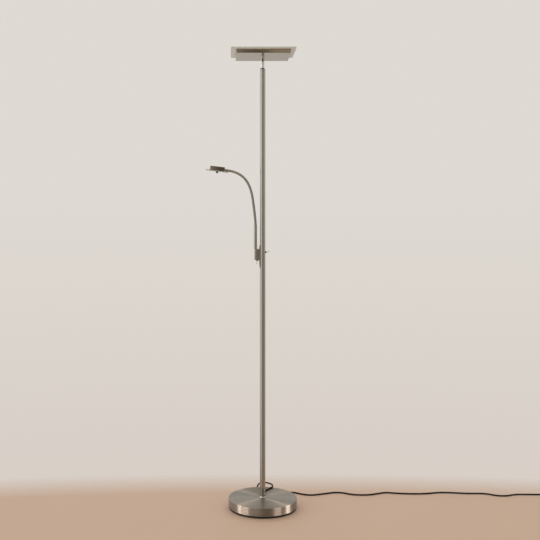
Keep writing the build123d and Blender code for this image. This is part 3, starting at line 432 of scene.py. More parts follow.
def grained_plastic(name, dark, light, roughness, scale, specular=0.5):
    """Moulded plastic or rubber with a fine even grain, a little lighter where dust lies."""
    made, tree, shader = new_material(name, specular_ior_level=specular)
    vector = object_place(tree)
    patches = place(tree, MARKS, vector, Scale=scale / GRAINS_PER_PATCH)["Patches"]
    grain = noise(tree, vector, scale, detail=3.0, roughness=0.6)
    colour = mixed(tree, patches, dark, light)
    dress(tree, shader, colour, roughness - GRAIN_DULLING / 2, (grain, GRAIN_DULLING))
    bumped(tree, shader, grain, strength=0.15, distance=0.0003)
    return made


def cast_metal(name, dark, light, roughness):
    """A rough casting, pitted all over."""
    made, tree, shader = new_material(name, metallic=0.9)
    pits = noise(tree, object_place(tree), PITS_SCALE, detail=6.0, roughness=0.7)
    colour = mixed(tree, span(tree, pits, *GRAIN_SPAN), dark, light)
    dress(tree, shader, colour, roughness, (pits, PIT_DULLING))
    bumped(tree, shader, pits, strength=0.5, distance=0.001)
    return made


def lit_glass(name, tint, roughness, glow_colour, glow):
    """Satined glass over the lights: it glows inside the square that they light, less towards the
    rim, and most over each light of their even grid, by
    0.25 (1 - cos(2 pi x / pitch)) (1 - cos(2 pi y / pitch))."""
    made, tree, shader = new_material(
        name, roughness=roughness, transmission_weight=SATINED_TRANSMISSION, ior=GLASS_IOR,
        emission_strength=glow,
    )
    vector = object_place(tree)
    level = split(tree, vector)[:2]
    reach = math(tree, "MAXIMUM", *(math(tree, "ABSOLUTE", part) for part in level))
    turns = [math(tree, "MULTIPLY", part, 2 * np.pi / CHIP_PITCH) for part in level]
    waves = [math(tree, "SUBTRACT", 1.0, math(tree, "COSINE", turn)) for turn in turns]
    spots = span(tree, math(tree, "MULTIPLY", *waves), 0.0, 4.0, BETWEEN_CHIPS, 1.0)
    inside = span(tree, reach, *LIT_FADE, 1.0, RIM_GLOW)
    frost = noise(tree, vector, FROST_SCALE, detail=2.0)
    colour = mixed(tree, span(tree, frost, *GRAIN_SPAN), tint, WHITE)
    feed(tree, colour, shader.inputs["Base Color"])
    glowing = mixed(tree, math(tree, "MULTIPLY", inside, spots), BLACK, glow_colour)
    feed(tree, glowing, shader.inputs["Emission Color"])
    bumped(tree, shader, frost, strength=0.1)
    return made


def clear_glass(name, tint, light, roughness, transmission):
    """Glass with a faint tint and a few wiping marks, clear or clouded by its ground edge."""
    made, tree, shader = new_material(name, transmission_weight=transmission, ior=GLASS_IOR)
    patches = place(tree, MARKS, object_place(tree), Scale=GLASS_PATCHES)["Patches"]
    dress(tree, shader, mixed(tree, patches, tint, light), roughness, (patches, GLASS_DULLING))
    return made


def lit_chip(name, colour, glow_colour, glow):
    """The yellow cover of a light chip, paler in its grain."""
    made, tree, shader = new_material(name, roughness=0.4, emission_strength=glow)
    grain = noise(tree, object_place(tree), PHOSPHOR_SCALE, detail=2.0)
    feed(tree, mixed(tree, grain, colour, PALE_PHOSPHOR), shader.inputs["Base Color"])
    feed(tree, mixed(tree, grain, glow_colour, PALE_GLOW), shader.inputs["Emission Color"])
    return made


SATIN_DARK = (0.385, 0.36, 0.325)
SATIN_LIGHT = (0.485, 0.455, 0.415)
ALONG_Z = (1400, 1400, 14)
ALONG_X = (10, 1200, 1200)
IN_CIRCLES = (1100, 9, 9)
ALL_WAYS = (500, 500, 500)

pole_satin = brushed_metal("pole_satin", SATIN_DARK, SATIN_LIGHT, 0.17, ALONG_Z, 0.01)
base_spun = brushed_metal(
    "base_spun", (0.24, 0.208, 0.175), (0.335, 0.298, 0.256), 0.36, IN_CIRCLES, 0.01,
    anisotropy=0.95, circles=True,
)
housing_satin = brushed_metal(
    "housing_satin", (0.41, 0.36, 0.295), (0.48, 0.43, 0.36), 0.15, ALONG_X, 0.015
)
casting_satin = brushed_metal(
    "casting_satin", (0.38, 0.335, 0.27), (0.48, 0.43, 0.355), 0.36, ALONG_Z, 0.03
)
hose_satin = brushed_metal(
    "hose_satin", (0.28, 0.25, 0.215), (0.37, 0.335, 0.295), 0.30, ALL_WAYS, 0.03
)
bright = bright_plate("bright_plate", (0.55, 0.53, 0.50), (0.78, 0.76, 0.73), 0.08)
zinc_plate = bright_plate("zinc_plate", (0.5, 0.5, 0.48), (0.66, 0.66, 0.63), 0.28)
# Painted shade in part: this near-black plate darkens the switch nuts, the switches and the fluted
# knob, and stands in for the shade that they lie in.
dark_plate_painted_shade = bright_plate("dark_plate_painted_shade", (0.045, 0.04, 0.035), (0.09, 0.08, 0.07), 0.22)
iron = cast_metal("iron", (0.05, 0.045, 0.04), (0.14, 0.13, 0.12), 0.5)
board_white = grained_plastic("board_white", (0.8, 0.8, 0.78), (0.88, 0.88, 0.86), 0.5, 900.0)
foot_black = grained_plastic(
    "foot_black", (0.012, 0.010, 0.009), (0.03, 0.027, 0.025), 0.55, 700.0
)
black_plastic = grained_plastic(
    "black_plastic", (0.012, 0.012, 0.012), (0.03, 0.03, 0.03), 0.42, 1800.0
)
cord_sheath = grained_plastic(
    "cord_sheath", (0.005, 0.004, 0.0035), (0.012, 0.010, 0.009), 0.52, 1500.0, specular=0.2
)
frosted = lit_glass("frosted_glass", (0.78, 0.79, 0.72), 0.4, (1.0, 0.90, 0.72), 0.6)
glass_edge = clear_glass("glass_edge", (0.66, 0.72, 0.59), (0.76, 0.81, 0.69), 0.2, 0.0)
clear = clear_glass("clear_glass", (0.86, 0.93, 0.90), (0.98, 0.99, 0.98), 0.02, 1.0)
chips_lit = lit_chip("lit_chips", (0.95, 0.75, 0.3), (1.0, 0.80, 0.55), 8.0)


def finish_with(piece, made):
    piece.data.materials.clear()
    piece.data.materials.append(made)


def add_piece(piece, made, body, slot, *replaced):
    """Gives a new piece its material and body, and says which CAD nodes it stands for; its slot is
    not used.
    """
    finish_with(piece, made)
    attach(piece, body)
    if replaced:
        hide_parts(*replaced)
    return piece


# CAD nodes that stay, by their finish

KEPT = [
    (zinc_plate, ["foot_screws", "base_bolt", "pole_foot_plug", "pole_joiners", "block_screws",
                  "arm_set_screw", "neck_nut", "tilt_pin", "knuckle_nut", "board_screws",
                  "glass_frame", "arm_swivel_screw"]),
    (bright, ["plug_pins", "neck_stem", "head_knuckle", "glass_screws", "reading_stud"]),
    (black_plastic, ["neck_bush", "cord_grommet", "block_base", "reading_washers"]),
    # near-black in part as painted shade on the switches and their nuts
    (dark_plate_painted_shade, ["uplight_switch", "reading_switch", "switch_nuts"]),
    (board_white, ["led_board", "led_driver", "reading_board"]),
    (chips_lit, ["led_chips", "reading_chips"]),
    (foot_black, ["foot_plate"]),
    (iron, ["base_weight"]),
    (cord_sheath, ["inner_cable"]),
]
for made, names in KEPT:
    for node in names:
        finish_with(nodes[node], made)

# Base: the spun cover, and the collar on its gasket

FINE_EDGE = 0.0003
COVER_WALL = 0.0012
COVER_EDGE = 0.002
COVER_HOLE = 0.0053
COVER_COLUMNS = 224
COLLAR_EDGE = 0.0011
COLLAR_LIP = 0.0004
COLLAR_SIDE_SHARE = 0.45
GASKET_HEIGHT = 0.0009
POLE_CLEARANCE = 0.00005


def base_cover():
    """A spun dish with its open side down, a rounded rim and the bolt's hole."""
    low, high = corners("base_cover")
    outer, bottom, top = high[0], low[2], high[2]
    inner, under = outer - COVER_WALL, top - COVER_WALL
    profile = closed_loop(
        [((outer + inner) / 2, bottom), (outer, bottom), (outer, top), (COVER_HOLE, top),
         (COVER_HOLE, under), (inner, under), (inner, bottom)],
        [FINE_EDGE, COVER_EDGE, FINE_EDGE, FINE_EDGE, COVER_WALL, FINE_EDGE], steps=6,
    )
    return turned("base_cover_spun", profile, (0, 0, 0), columns=COVER_COLUMNS)


def ring(name, inner, outer, bottom, top, edges, centre=(0, 0, 0), axis=(0, 0, 1), columns=72):
    """A ring with small inner edges and the given outer ones, below and above. Its profile starts
    in the middle of what the edges leave flat below."""
    flat_inner = inner + FINE_EDGE / 2 * (1 + HOLD_SHARE)
    flat_outer = outer - edges[0] * (1 + HOLD_SHARE)
    profile = closed_loop(
        [((flat_inner + flat_outer) / 2, bottom), (outer, bottom), (outer, top), (inner, top),
         (inner, bottom)],
        [*edges, FINE_EDGE / 2, FINE_EDGE / 2],
    )
    return turned(name, profile, centre, axis, columns)


spun_cover = add_piece(base_cover(), base_spun, "stand", "base_steel", "base_cover")
pole_radius = corners("pole_lower")[1][0]
collar_low, collar_high = corners("base_collar")
collar_inner, collar_outer = pole_radius + POLE_CLEARANCE, collar_high[0]
gasket_top = collar_low[2] + GASKET_HEIGHT
shoulder = gasket_top + (collar_high[2] - gasket_top) * COLLAR_SIDE_SHARE
collar_profile = closed_loop(
    [((collar_inner + collar_outer) / 2, gasket_top), (collar_outer, gasket_top),
     (collar_outer, shoulder), (collar_inner + COLLAR_LIP, collar_high[2]),
     (collar_inner, collar_high[2]), (collar_inner, gasket_top)],
    [FINE_EDGE, COLLAR_EDGE, COLLAR_LIP / 2, FINE_EDGE / 2, FINE_EDGE / 2],
)
collar = turned("collar_ring", collar_profile, (0, 0, 0), columns=72)
add_piece(collar, bright, "stand", "plated_steel", "base_collar")
edges = (FINE_EDGE, FINE_EDGE)
gasket = ring("collar_gasket", collar_inner, collar_outer, collar_low[2], gasket_top, edges)
add_piece(gasket, foot_black, "stand", "black_foot")

# Pole: three tubes whose rounded ends meet in fine seams, and the domed cap

TUBE_WALL = 0.001
SEAM_EDGE = 0.0005
CAP_EDGE = 0.0035
CAP_HOLE = 0.0066

for node in ("pole_lower", "pole_middle", "pole_upper"):
    low, high = corners(node)
    walls = (pole_radius - TUBE_WALL, pole_radius)
    stretch = ring(f"{node}_tube", *walls, low[2], high[2], (SEAM_EDGE, SEAM_EDGE))
    add_piece(stretch, pole_satin, "stand", "pole_steel", node)
cap_top = corners("pole_cap")[1][2]
cap = ring("pole_cap_dome", CAP_HOLE, pole_radius, high[2], cap_top, (SEAM_EDGE, CAP_EDGE))
add_piece(cap, pole_satin, "stand", "fitting_metal", "pole_cap")

# Uplight: the pressed housing and the satined glass with its ground edge

HOUSING_WALL = 0.0012
HOUSING_FLOOR = 0.0015
HOUSING_CORNER = 0.0025
HOUSING_EDGE = 0.0009
GLASS_CORNER = 0.004
GLASS_EDGE = 0.0008
GLASS_FACE_SHARE = 0.5


def open_box(name, half_side, height, corner, edge, **placing):
    """A shallow square box with its floor at height zero and its open side up: out from the
    floor's middle, up the outside, over the rim, down the inside and back to the middle."""
    profile = rounded(
        [(half_side, 0), (0, 0), (0, height), (HOUSING_WALL, height), (HOUSING_WALL, HOUSING_FLOOR),
         (half_side, HOUSING_FLOOR)],
        [edge, FINE_EDGE, FINE_EDGE, edge / 2], steps=5,
    )
    return slab(name, half_side, half_side, corner, profile, **placing)


def glass_sheet(name, half_side, thickness, corner, **placing):
    """A square sheet of glass with small bevels, about its middle."""
    face, bevel = thickness / 2, thickness / 2 - GLASS_EDGE
    profile = rounded(
        [(half_side, -face), (GLASS_EDGE, -face), (0, -bevel), (0, bevel), (GLASS_EDGE, face),
         (half_side, face)],
        FINE_EDGE, steps=2,
    )
    return slab(name, half_side, half_side, corner, profile, **placing)


def finish_edge(sheet, up):
    """Gives a glass sheet's edge faces, those more upright than level to the sheet, the ground
    edge's finish."""
    sheet.data.materials.append(glass_edge)
    faces = sheet.data.polygons
    facing = np.empty(len(faces) * 3)
    faces.foreach_get("normal", facing)
    on_edge = np.abs(facing.reshape(-1, 3) @ np.array(up)) < GLASS_FACE_SHARE
    faces.foreach_set("material_index", on_edge.astype(np.int32))


low, high = corners("head_housing")
tray = open_box(
    "housing_tray", high[0], high[2] - low[2], HOUSING_CORNER, HOUSING_EDGE, centre=(0, 0, low[2])
)
add_piece(tray, housing_satin, "uplight_head", "housing_metal", "head_housing")

low, high = corners("glass_plate")
plate = glass_sheet(
    "glass_sheet", high[0], high[2] - low[2], GLASS_CORNER, centre=(0, 0, (low[2] + high[2]) / 2)
)
add_piece(plate, frosted, "uplight_head", "frosted_glass", "glass_plate")
finish_edge(plate, (0, 0, 1))

# Switch block on its saddle, toggles and the arm's sleeve

SADDLE_POWER = 7.0
SADDLE_LIP = 0.0004
SADDLE_TAPERS = (0.026, 0.015)
SADDLE_ROWS = (28, 4, 24)
SADDLE_CROWDING = 1.5
SADDLE_COLUMNS = 41
BLOCK_CORNER = 0.004
BLOCK_BACK_CORNER = 0.0006
BLOCK_EDGE = 0.001
SLEEVE_EDGE = 0.0008
SLEEVE_MOUTH = 0.0055
SLEEVE_MOUTH_DEPTH = 0.012
LEVER_LEAN = np.radians(17)
LEVER_LENGTH = 0.0142
LEVER_BALL = 0.0017
LEVER_BALL_SHARE = 0.75
LEVER_ROOT = 0.001
LEVER_TIP = 0.0016
LEVER_TIP_START = 0.15
LEVER_ROWS = (12, 16, 8)


def pole_saddle():
    """The saddle between the pole and the block. Level sections run from the pole's circle out to
    the face F(z): with the half width w and the side's start S they are the superellipse
    x = -S - (F - S)|sin a|^(2/n), y = w |cos a|^(2/n). F falls off over the tapers along arcs
    that leave the flat face smoothly and end at the lip."""
    low, high = corners("pole_saddle")
    half_width, face, hug = high[1], -low[0], pole_radius + POLE_CLEARANCE
    side = np.sqrt(hug**2 - half_width**2)
    flat = (low[2] + SADDLE_TAPERS[0], high[2] - SADDLE_TAPERS[1])
    shares = [np.linspace(0, 1, rows) ** SADDLE_CROWDING for rows in SADDLE_ROWS[::2]]
    z = np.concatenate([
        low[2] + SADDLE_TAPERS[0] * shares[0], np.linspace(*flat, SADDLE_ROWS[1])[1:-1],
        high[2] - SADDLE_TAPERS[1] * shares[1][::-1],
    ])[:, None]
    drop = face - pole_radius - SADDLE_LIP
    fall = 0
    for taper, past in zip(SADDLE_TAPERS, (flat[0] - z, z - flat[1])):
        arc = (taper**2 + drop**2) / (2 * drop)
        fall = fall + arc - np.sqrt(arc**2 - np.maximum(past, 0) ** 2)
    angle = np.linspace(np.pi, 0, SADDLE_COLUMNS)
    y = half_width * powered(np.cos(angle), 2 / SADDLE_POWER)
    outer = -side - (face - fall - side) * np.sin(angle) ** (2 / SADDLE_POWER)
    inner = np.broadcast_to(-np.sqrt(hug**2 - y**2), outer.shape)
    x = np.concatenate([outer, inner[:, ::-1]], axis=1)
    middle = (x + x[:, ::-1]) / 2
    x = np.concatenate([middle[:1], x, middle[-1:]])
    z = np.concatenate([z[:1], z, z[-1:]])
    y = np.concatenate([y, y[::-1]])
    grid = np.stack(np.broadcast_arrays(x, y, z), axis=-1)
    return surface("pole_saddle_shell", grid)


add_piece(pole_saddle(), casting_satin, "stand", "fitting_metal", "pole_saddle")

low, high = corners("switch_block")
middle = (low + high) / 2
half_x, half_y, height = (high - low) * (0.5, 0.5, 1)
block = slab(
    "switch_block_body", half_x, half_y,
    [BLOCK_BACK_CORNER, BLOCK_CORNER, BLOCK_CORNER, BLOCK_BACK_CORNER],
    rounded([(half_y, 0), (0, 0), (0, height), (half_y, height)], [FINE_EDGE, BLOCK_EDGE], steps=5),
    (middle[0], middle[1], low[2]),
)
add_piece(block, casting_satin, "stand", "fitting_metal", "switch_block")


def bat_lever(name, joint, lean):
    """A toggle's lever on a straight axis from its pivot: a ball at the pivot, a stem that widens
    evenly from the root's radius to the tip's, and a round end, whose radius is
    sqrt(T² - (s - its start)²) at the length s."""
    along = np.array([np.cos(lean), 0, np.sin(lean)])
    end_start = LEVER_LENGTH - LEVER_TIP
    turns = np.linspace(LEVER_TIP_START, np.pi / 2, LEVER_ROWS[2])
    reach = np.concatenate([
        np.linspace(-LEVER_BALL, LEVER_BALL * LEVER_BALL_SHARE, LEVER_ROWS[0]),
        np.linspace(LEVER_BALL, end_start, LEVER_ROWS[1]), end_start + LEVER_TIP * np.sin(turns),
    ])
    stem = LEVER_ROOT + (LEVER_TIP - LEVER_ROOT) * np.clip(reach / end_start, 0, 1)
    ball = np.sqrt(np.maximum(LEVER_BALL**2 - reach**2, 0))
    end = np.sqrt(np.maximum(LEVER_TIP**2 - np.maximum(reach - end_start, 0) ** 2, 0))
    radius = np.where(reach < LEVER_BALL, ball, np.minimum(stem, end))
    return tube(name, np.array(joint["pos_m"]) + reach[:, None] * along, radius)


pivots = {joint["child"]: joint for joint in frame["joints"]}
for switch, lean in (("uplight", LEVER_LEAN), ("reading", -np.pi / 2 - LEVER_LEAN)):
    bat = bat_lever(f"{switch}_bat", pivots[f"{switch}_lever"], lean)
    add_piece(bat, bright, f"{switch}_lever", "bright_metal", f"{switch}_toggle")

low, high = corners("arm_sleeve")
outer = (high[0] - low[0]) / 2
mouth_floor = high[2] - SLEEVE_MOUTH_DEPTH
sleeve_profile = rounded(
    [(0, low[2]), (outer, low[2]), (outer, high[2]), (SLEEVE_MOUTH, high[2]),
     (SLEEVE_MOUTH, mouth_floor), (0, mouth_floor)],
    [SLEEVE_EDGE, SLEEVE_EDGE, FINE_EDGE, FINE_EDGE], steps=5,
)
sleeve = turned("arm_sleeve_tube", sleeve_profile, ((low[0] + high[0]) / 2, 0, 0), columns=56)
add_piece(sleeve, pole_satin, "arm", "arm_metal", "arm_sleeve")

# Flexible arm: a grooved metal hose, in one link from each bend to the next, each with a ball in
# the last one's cup

HOSE_RADIUS = 0.0051
RIB_HEIGHT = 0.00025
RIB_PITCH = 0.0021
ROWS_PER_RIB = 8
CURVE_STEPS = 400
HOSE_COLUMNS = 36
HOSE_BALL = 0.0048
HOSE_CUP = 0.00485
HOSE_LEAN = np.radians(5)
HOSE_GAP = 0.00044
HOSE_INSERT = 0.002
BALL_ROWS = 12


def hose_ways(points, first, last):
    """The way the hose runs at each point: that of a circle through the point and its two
    neighbours, which is each side's own way weighted by the other side's length, and the given
    ways at both ends."""
    runs = np.diff(points, axis=0)
    lengths = np.linalg.norm(runs, axis=1, keepdims=True)
    slopes = runs / lengths
    ways = unit(slopes[:-1] * lengths[1:] + slopes[1:] * lengths[:-1])
    return np.concatenate([[first], ways, [last]])


def hose_link(name, start, end, start_way, end_way, ball, cup):
    """One rigid link of the hose, on the cubic curve that runs the given ways at its two joints.
    Its radius at the length s is R - h cos(2 pi ribs s / length), so a groove lies at each joint.
    It begins in a ball round its joint and ends in a cup for the next ball. Its rims lean away
    from the joints, so the grooves there open and close as the arm bends, and only meet at the
    limits."""
    t = np.linspace(0, 1, CURVE_STEPS)[:, None]
    reach = np.linalg.norm(end - start)
    curve = (2 * t**3 - 3 * t**2 + 1) * start + (t**3 - 2 * t**2 + t) * reach * start_way
    curve = curve + (3 * t**2 - 2 * t**3) * end + (t**3 - t**2) * reach * end_way
    length = lengths_along(curve)[-1]
    ribs = round(length / RIB_PITCH)
    even = np.linspace(HOSE_GAP * ball, length - HOSE_GAP * cup, ribs * ROWS_PER_RIB + 1)
    path = points_at(curve, even)
    along = unit(np.gradient(path, axis=0))
    radius = HOSE_RADIUS - RIB_HEIGHT * np.cos(2 * np.pi * ribs * even / length)
    turn = np.linspace(-np.pi / 2, HOSE_LEAN, BALL_ROWS * ball)[:, None]
    back = np.linspace(-HOSE_LEAN, -np.pi / 2, BALL_ROWS * cup)[:, None]
    path = np.concatenate([start + HOSE_BALL * np.sin(turn) * start_way, path,
                           end + HOSE_CUP * np.sin(back) * end_way])
    along = np.concatenate([0 * turn + start_way, along, 0 * back + end_way])
    radius = np.concatenate([HOSE_BALL * np.cos(turn[:, 0]), radius, HOSE_CUP * np.cos(back[:, 0])])
    return tube(name, path, radius, HOSE_COLUMNS, along=along)


HEAD_TILT = np.radians(7)
HEAD_HALF_SIDE = 0.029
TIP_DROP = 0.0023
upright = np.array([0.0, 0.0, 1.0])
head_across = np.array([np.cos(HEAD_TILT), 0, -np.sin(HEAD_TILT)])
head_up = np.array([np.sin(HEAD_TILT), 0, np.cos(HEAD_TILT)])
head_centre = sum(corners("reading_housing")) / 2
head_side = head_centre + head_across * HEAD_HALF_SIDE - head_up * TIP_DROP

bends = [joint for joint in frame["joints"] if joint["name"].startswith("arm_bend")]
elbows = [np.array(joint["pos_m"]) for joint in bends]
stops = np.array([*elbows, head_side - head_across * HOSE_INSERT])
ways = hose_ways(stops, upright, -head_across)
root_start = np.array([stops[0][0], 0, mouth_floor])
root = hose_link("hose_root", root_start, stops[0], upright, upright, False, True)
add_piece(root, hose_satin, "arm", "arm_metal")
for number, joint in enumerate(bends, start=1):
    is_tip = number == len(bends)
    link = hose_link(f"hose_{number}", *stops[number - 1:number + 1], *ways[number - 1:number + 1],
                     True, not is_tip)
    replaced = "gooseneck_tip" if is_tip else f"gooseneck_{number}"
    add_piece(link, hose_satin, joint["child"], "arm_metal", replaced)

# Reading head: the pressed box, the hose's ferrule, the clear glass and the fluted knob under it

READING_HEIGHT = 0.0165
READING_CORNER = 0.0015
READING_EDGE = 0.0008
READING_GLASS_HALF = 0.0445
READING_GLASS_CORNER = 0.003
READING_GLASS = 0.0035
FERRULE_RADIUS = 0.0062
FERRULE_LENGTH = 0.006
FERRULE_EDGE = 0.0006
WASHER = 0.0008
KNOB_RADIUS = 0.0042
KNOB_HEIGHT = 0.005
KNOB_EIGHTHS = [0, 0, 0.25, 1, 2, 4, 6, 7, 7.75, 8, 8]
KNOB_EDGE = 0.0006
KNOB_EDGE_SHARES = [1, 0.7, 0.2, 0, 0, 0, 0, 0, 0.2, 0.7, 1]
KNOB_FLUTES = 12
KNOB_FLUTE_DEPTH = 0.0005
COLUMNS_PER_FLUTE = 8

box = open_box(
    "reading_box", HEAD_HALF_SIDE, READING_HEIGHT, READING_CORNER, READING_EDGE,
    centre=head_centre + head_up * READING_HEIGHT / 2, across=head_across, up=-head_up,
)
add_piece(box, housing_satin, "reading_head", "housing_metal", "reading_housing")

ferrule_profile = closed_loop(
    [(HOSE_RADIUS, FERRULE_LENGTH / 2), (HOSE_RADIUS, 0), (FERRULE_RADIUS, 0),
     (FERRULE_RADIUS, FERRULE_LENGTH), (HOSE_RADIUS, FERRULE_LENGTH)],
    [FINE_EDGE, FINE_EDGE, FERRULE_EDGE, FINE_EDGE],
)
ferrule = turned("hose_ferrule", ferrule_profile, head_side, head_across, columns=48)
add_piece(ferrule, casting_satin, "reading_head", "bright_metal")

reading_sheet = glass_sheet(
    "reading_sheet", READING_GLASS_HALF, READING_GLASS, READING_GLASS_CORNER,
    centre=sum(corners("reading_glass")) / 2, across=head_across, up=head_up,
)
add_piece(reading_sheet, clear, "reading_head", "clear_glass", "reading_glass")
finish_edge(reading_sheet, head_up)


def fluted_knob():
    """A knob on the head's axis, with rounded edges at both faces. Round it, its radius is less by
    the flutes' depth times (0.5 + 0.5 cos(flutes a))³."""
    level = -READING_HEIGHT / 2 - READING_GLASS - WASHER
    height = np.array(KNOB_EIGHTHS)[:, None] / 8 * KNOB_HEIGHT
    columns = KNOB_FLUTES * COLUMNS_PER_FLUTE
    angle = all_round(columns)
    flutes = KNOB_FLUTE_DEPTH * (0.5 + 0.5 * np.cos(KNOB_FLUTES * angle)) ** 3
    radii = KNOB_RADIUS - np.array(KNOB_EDGE_SHARES)[:, None] * KNOB_EDGE - flutes
    path = head_centre + head_up * (level - height)
    return tube("reading_knob_fluted", path, radii, columns, along=-head_up)


# The knob's near-black plate is in part painted shade.
add_piece(fluted_knob(), dark_plate_painted_shade, "reading_head", "bright_metal", "reading_knob")

# Mains lead

CORD_DIAMETER = 0.006
CORD_LEVEL = 0.0031
CORD_STEPS = 8
CORD_ROUNDNESS = 6
CORD_FALL = [
    (0, 0.014, 0.058), (0, 0.031, 0.058), (0.003, 0.047, 0.0495), (0.008, 0.066, 0.0435),
    (0.022, 0.087, 0.0428), (0.0358, 0.1075, 0.0433), (0.0465, 0.124, 0.0445),
    (0.0435, 0.1435, 0.0465), (0.027, 0.1545, 0.0495), (0, 0.155, 0.052), (-0.016, 0.159, 0.0395),
    (-0.016, 0.164, 0.019), (0, 0.169, 0.0045),
]
CORD_ON_FLOOR = [
    (0.027, 0.173), (0.056, 0.171), (0.095, 0.177), (0.134, 0.179), (0.165, 0.154),
    (0.2, 0.139), (0.25, 0.155), (0.3, 0.177), (0.337, 0.174), (0.375, 0.145),
    (0.44, 0.143), (0.478, 0.16), (0.515, 0.178), (0.56, 0.164), (0.632, 0.157),
    (0.69, 0.163), (0.735, 0.177), (0.79, 0.173), (0.85, 0.162), (0.925, 0.164),
    (0.962, 0.134), (1.005, 0.131), (1.045, 0.152), (1.11, 0.149), (1.171, 0.149),
]
CORD_ROUTE = [*CORD_FALL, *((x, y, CORD_LEVEL) for x, y in CORD_ON_FLOOR)]
COIL_RADIUS = 0.037
COIL_PITCH = 0.0065
COIL_LEAD = 0.009
COIL_QUARTERS = 9
COIL_REVERSAL = 5
POINTS_PER_QUARTER = 4
TAIL_LEVEL = 0.008
TAIL_RUN = 0.024
TAIL_END_RUN = 0.006
plug_low, plug_high = corners("plug_body")
plug_axis = (plug_low + plug_high) / 2


def coil_points():
    """The coil's turns, clockwise from its lead-in, each at the middle plus (r sin a, r cos a)
    with a of q quarter turns. r shrinks by a pitch each turn until the reversal, then grows, and
    the height climbs by a pitch in the half turn round the reversal."""
    q = np.linspace(0, COIL_QUARTERS, COIL_QUARTERS * POINTS_PER_QUARTER + 1)
    middle = np.array(CORD_ROUTE[-1]) + (COIL_LEAD, -COIL_RADIUS, 0)
    turned_back = np.maximum(q - COIL_REVERSAL, 0)
    radius = COIL_RADIUS - COIL_PITCH / 4 * (np.minimum(q, COIL_REVERSAL) - turned_back)
    climb = COIL_PITCH * np.clip(q - COIL_REVERSAL + 1, 0, 2) / 2
    angle = q * np.pi / 2
    return middle + np.stack([radius * np.sin(angle), radius * np.cos(angle), climb], axis=1)


def tail_points(start):
    """The tail: level, down in an even slope to the plug's middle, and straight into the plug."""
    drop = start[2] - plug_axis[2]
    along = np.cumsum([TAIL_LEVEL, *[TAIL_RUN / 3] * 3, TAIL_END_RUN])
    down = np.array([0, 0, 1, 1, 1]) * drop
    return start + np.stack([0 * along, -along, -down], axis=1)


def lay_cord():
    """The cord's curve, and the points of its smooth line."""
    coil = coil_points()
    points = np.concatenate([CORD_ROUTE, coil, tail_points(coil[-1])])
    curve = bpy.data.curves.new("mains_lead", "CURVE")
    curve.dimensions = "3D"
    spline = curve.splines.new("NURBS")
    spline.points.add(len(points) - 1)
    spline.points.foreach_set("co", np.column_stack([points, np.ones(len(points))]).ravel())
    spline.order_u = 3
    spline.use_endpoint_u = True
    spline.resolution_u = CORD_STEPS
    piece = new_object("mains_lead", curve)
    line = bpy.data.meshes.new_from_object(piece)
    path = np.empty(len(line.vertices) * 3)
    line.vertices.foreach_get("co", path)
    bpy.data.meshes.remove(line)
    curve.bevel_depth = CORD_DIAMETER / 2
    curve.bevel_resolution = CORD_ROUNDNESS
    return piece, path.reshape(-1, 3)


RELIEF_LENGTH = 0.024
RELIEF_RADII = (0.0052, 0.0035)
RELIEF_RIBS = 5
RELIEF_ROWS = 60
RIB_DEPTH = 0.0005


def rings(share, ribs):
    """What a relief's rings take off its radius: their depth times cos(pi ribs share)⁴."""
    return RIB_DEPTH * np.cos(np.pi * ribs * share) ** 4


def exit_relief(lead_path):
    """The relief round the cord's first stretch, tapered evenly from root to tip but for rings."""
    share = np.linspace(0, 1, RELIEF_ROWS)
    root, tip = RELIEF_RADII
    radius = root + (tip - root) * share - rings(share, RELIEF_RIBS)
    path = points_at(lead_path, share * RELIEF_LENGTH)
    return tube("exit_relief", path, radius, columns=36, sideways=(1, 0, 0))


PLUG_RELIEF = 0.016
PLUG_RELIEF_RADII = (0.0039, 0.0048)
PLUG_RELIEF_RIBS = 4
PLUG_SHOULDER = 0.015
PLUG_FRONT_EDGE = 0.0012
PLUG_ROWS = (49, 90, 8)
PLUG_COLUMNS = 64
PLUG_POWER = 5.0
GRIP_DEPTH = 0.0004
GRIP_RIBS = 6
GRIP_MARGIN = 0.004


def plug_shell():
    """The moulded plug, from its relief to its face. Its outline is the superellipse
    (w |cos a|^(2/n), h |sin a|^(2/n)). In the relief w and h are its radius less its rings, along
    the shoulder they swell with n in an S curve to the body, which has grip ribs above and below,
    and the face's edge is round."""
    length = plug_high[1] - plug_low[1]
    body_end = length - PLUG_FRONT_EDGE
    turns = np.linspace(0, np.pi / 2, PLUG_ROWS[2])[1:]
    s = np.concatenate([
        np.linspace(0, PLUG_RELIEF, PLUG_ROWS[0]),
        np.linspace(PLUG_RELIEF, body_end, PLUG_ROWS[1])[1:],
        body_end + PLUG_FRONT_EDGE * np.sin(turns),
    ])
    inset = np.zeros(len(s))
    inset[-len(turns):] = PLUG_FRONT_EDGE * (1 - np.cos(turns))
    share = np.clip(s / PLUG_RELIEF, 0, 1)
    first, last = PLUG_RELIEF_RADII
    relief = first + (last - first) * share - rings(share, PLUG_RELIEF_RIBS) * (share < 1)
    swell = np.clip((s - PLUG_RELIEF) / PLUG_SHOULDER, 0, 1)
    swell = swell**2 * (3 - 2 * swell)
    half_width, _, half_height = (plug_high - plug_low) / 2
    grip_start = PLUG_RELIEF + PLUG_SHOULDER
    grip_share = np.clip((s - grip_start) / (length - grip_start - GRIP_MARGIN), 0, 1)
    grip = GRIP_DEPTH * np.sin(np.pi * GRIP_RIBS * grip_share) ** 2
    w = relief + (half_width - relief) * swell - inset
    h = relief + (half_height - relief) * swell - inset - grip
    power = 2 / (2 + (PLUG_POWER - 2) * swell)[:, None]
    angle = all_round(PLUG_COLUMNS)
    across = w[:, None] * powered(np.cos(angle), power)
    up = h[:, None] * powered(np.sin(angle), power)
    middle = np.stack([0 * s + plug_axis[0], plug_high[1] - s, 0 * s + plug_axis[2]], axis=1)
    grid = middle[:, None] + np.stack([across, 0 * across, up], axis=-1)
    return surface("plug_shell", capped(grid, middle[0], middle[-1]))


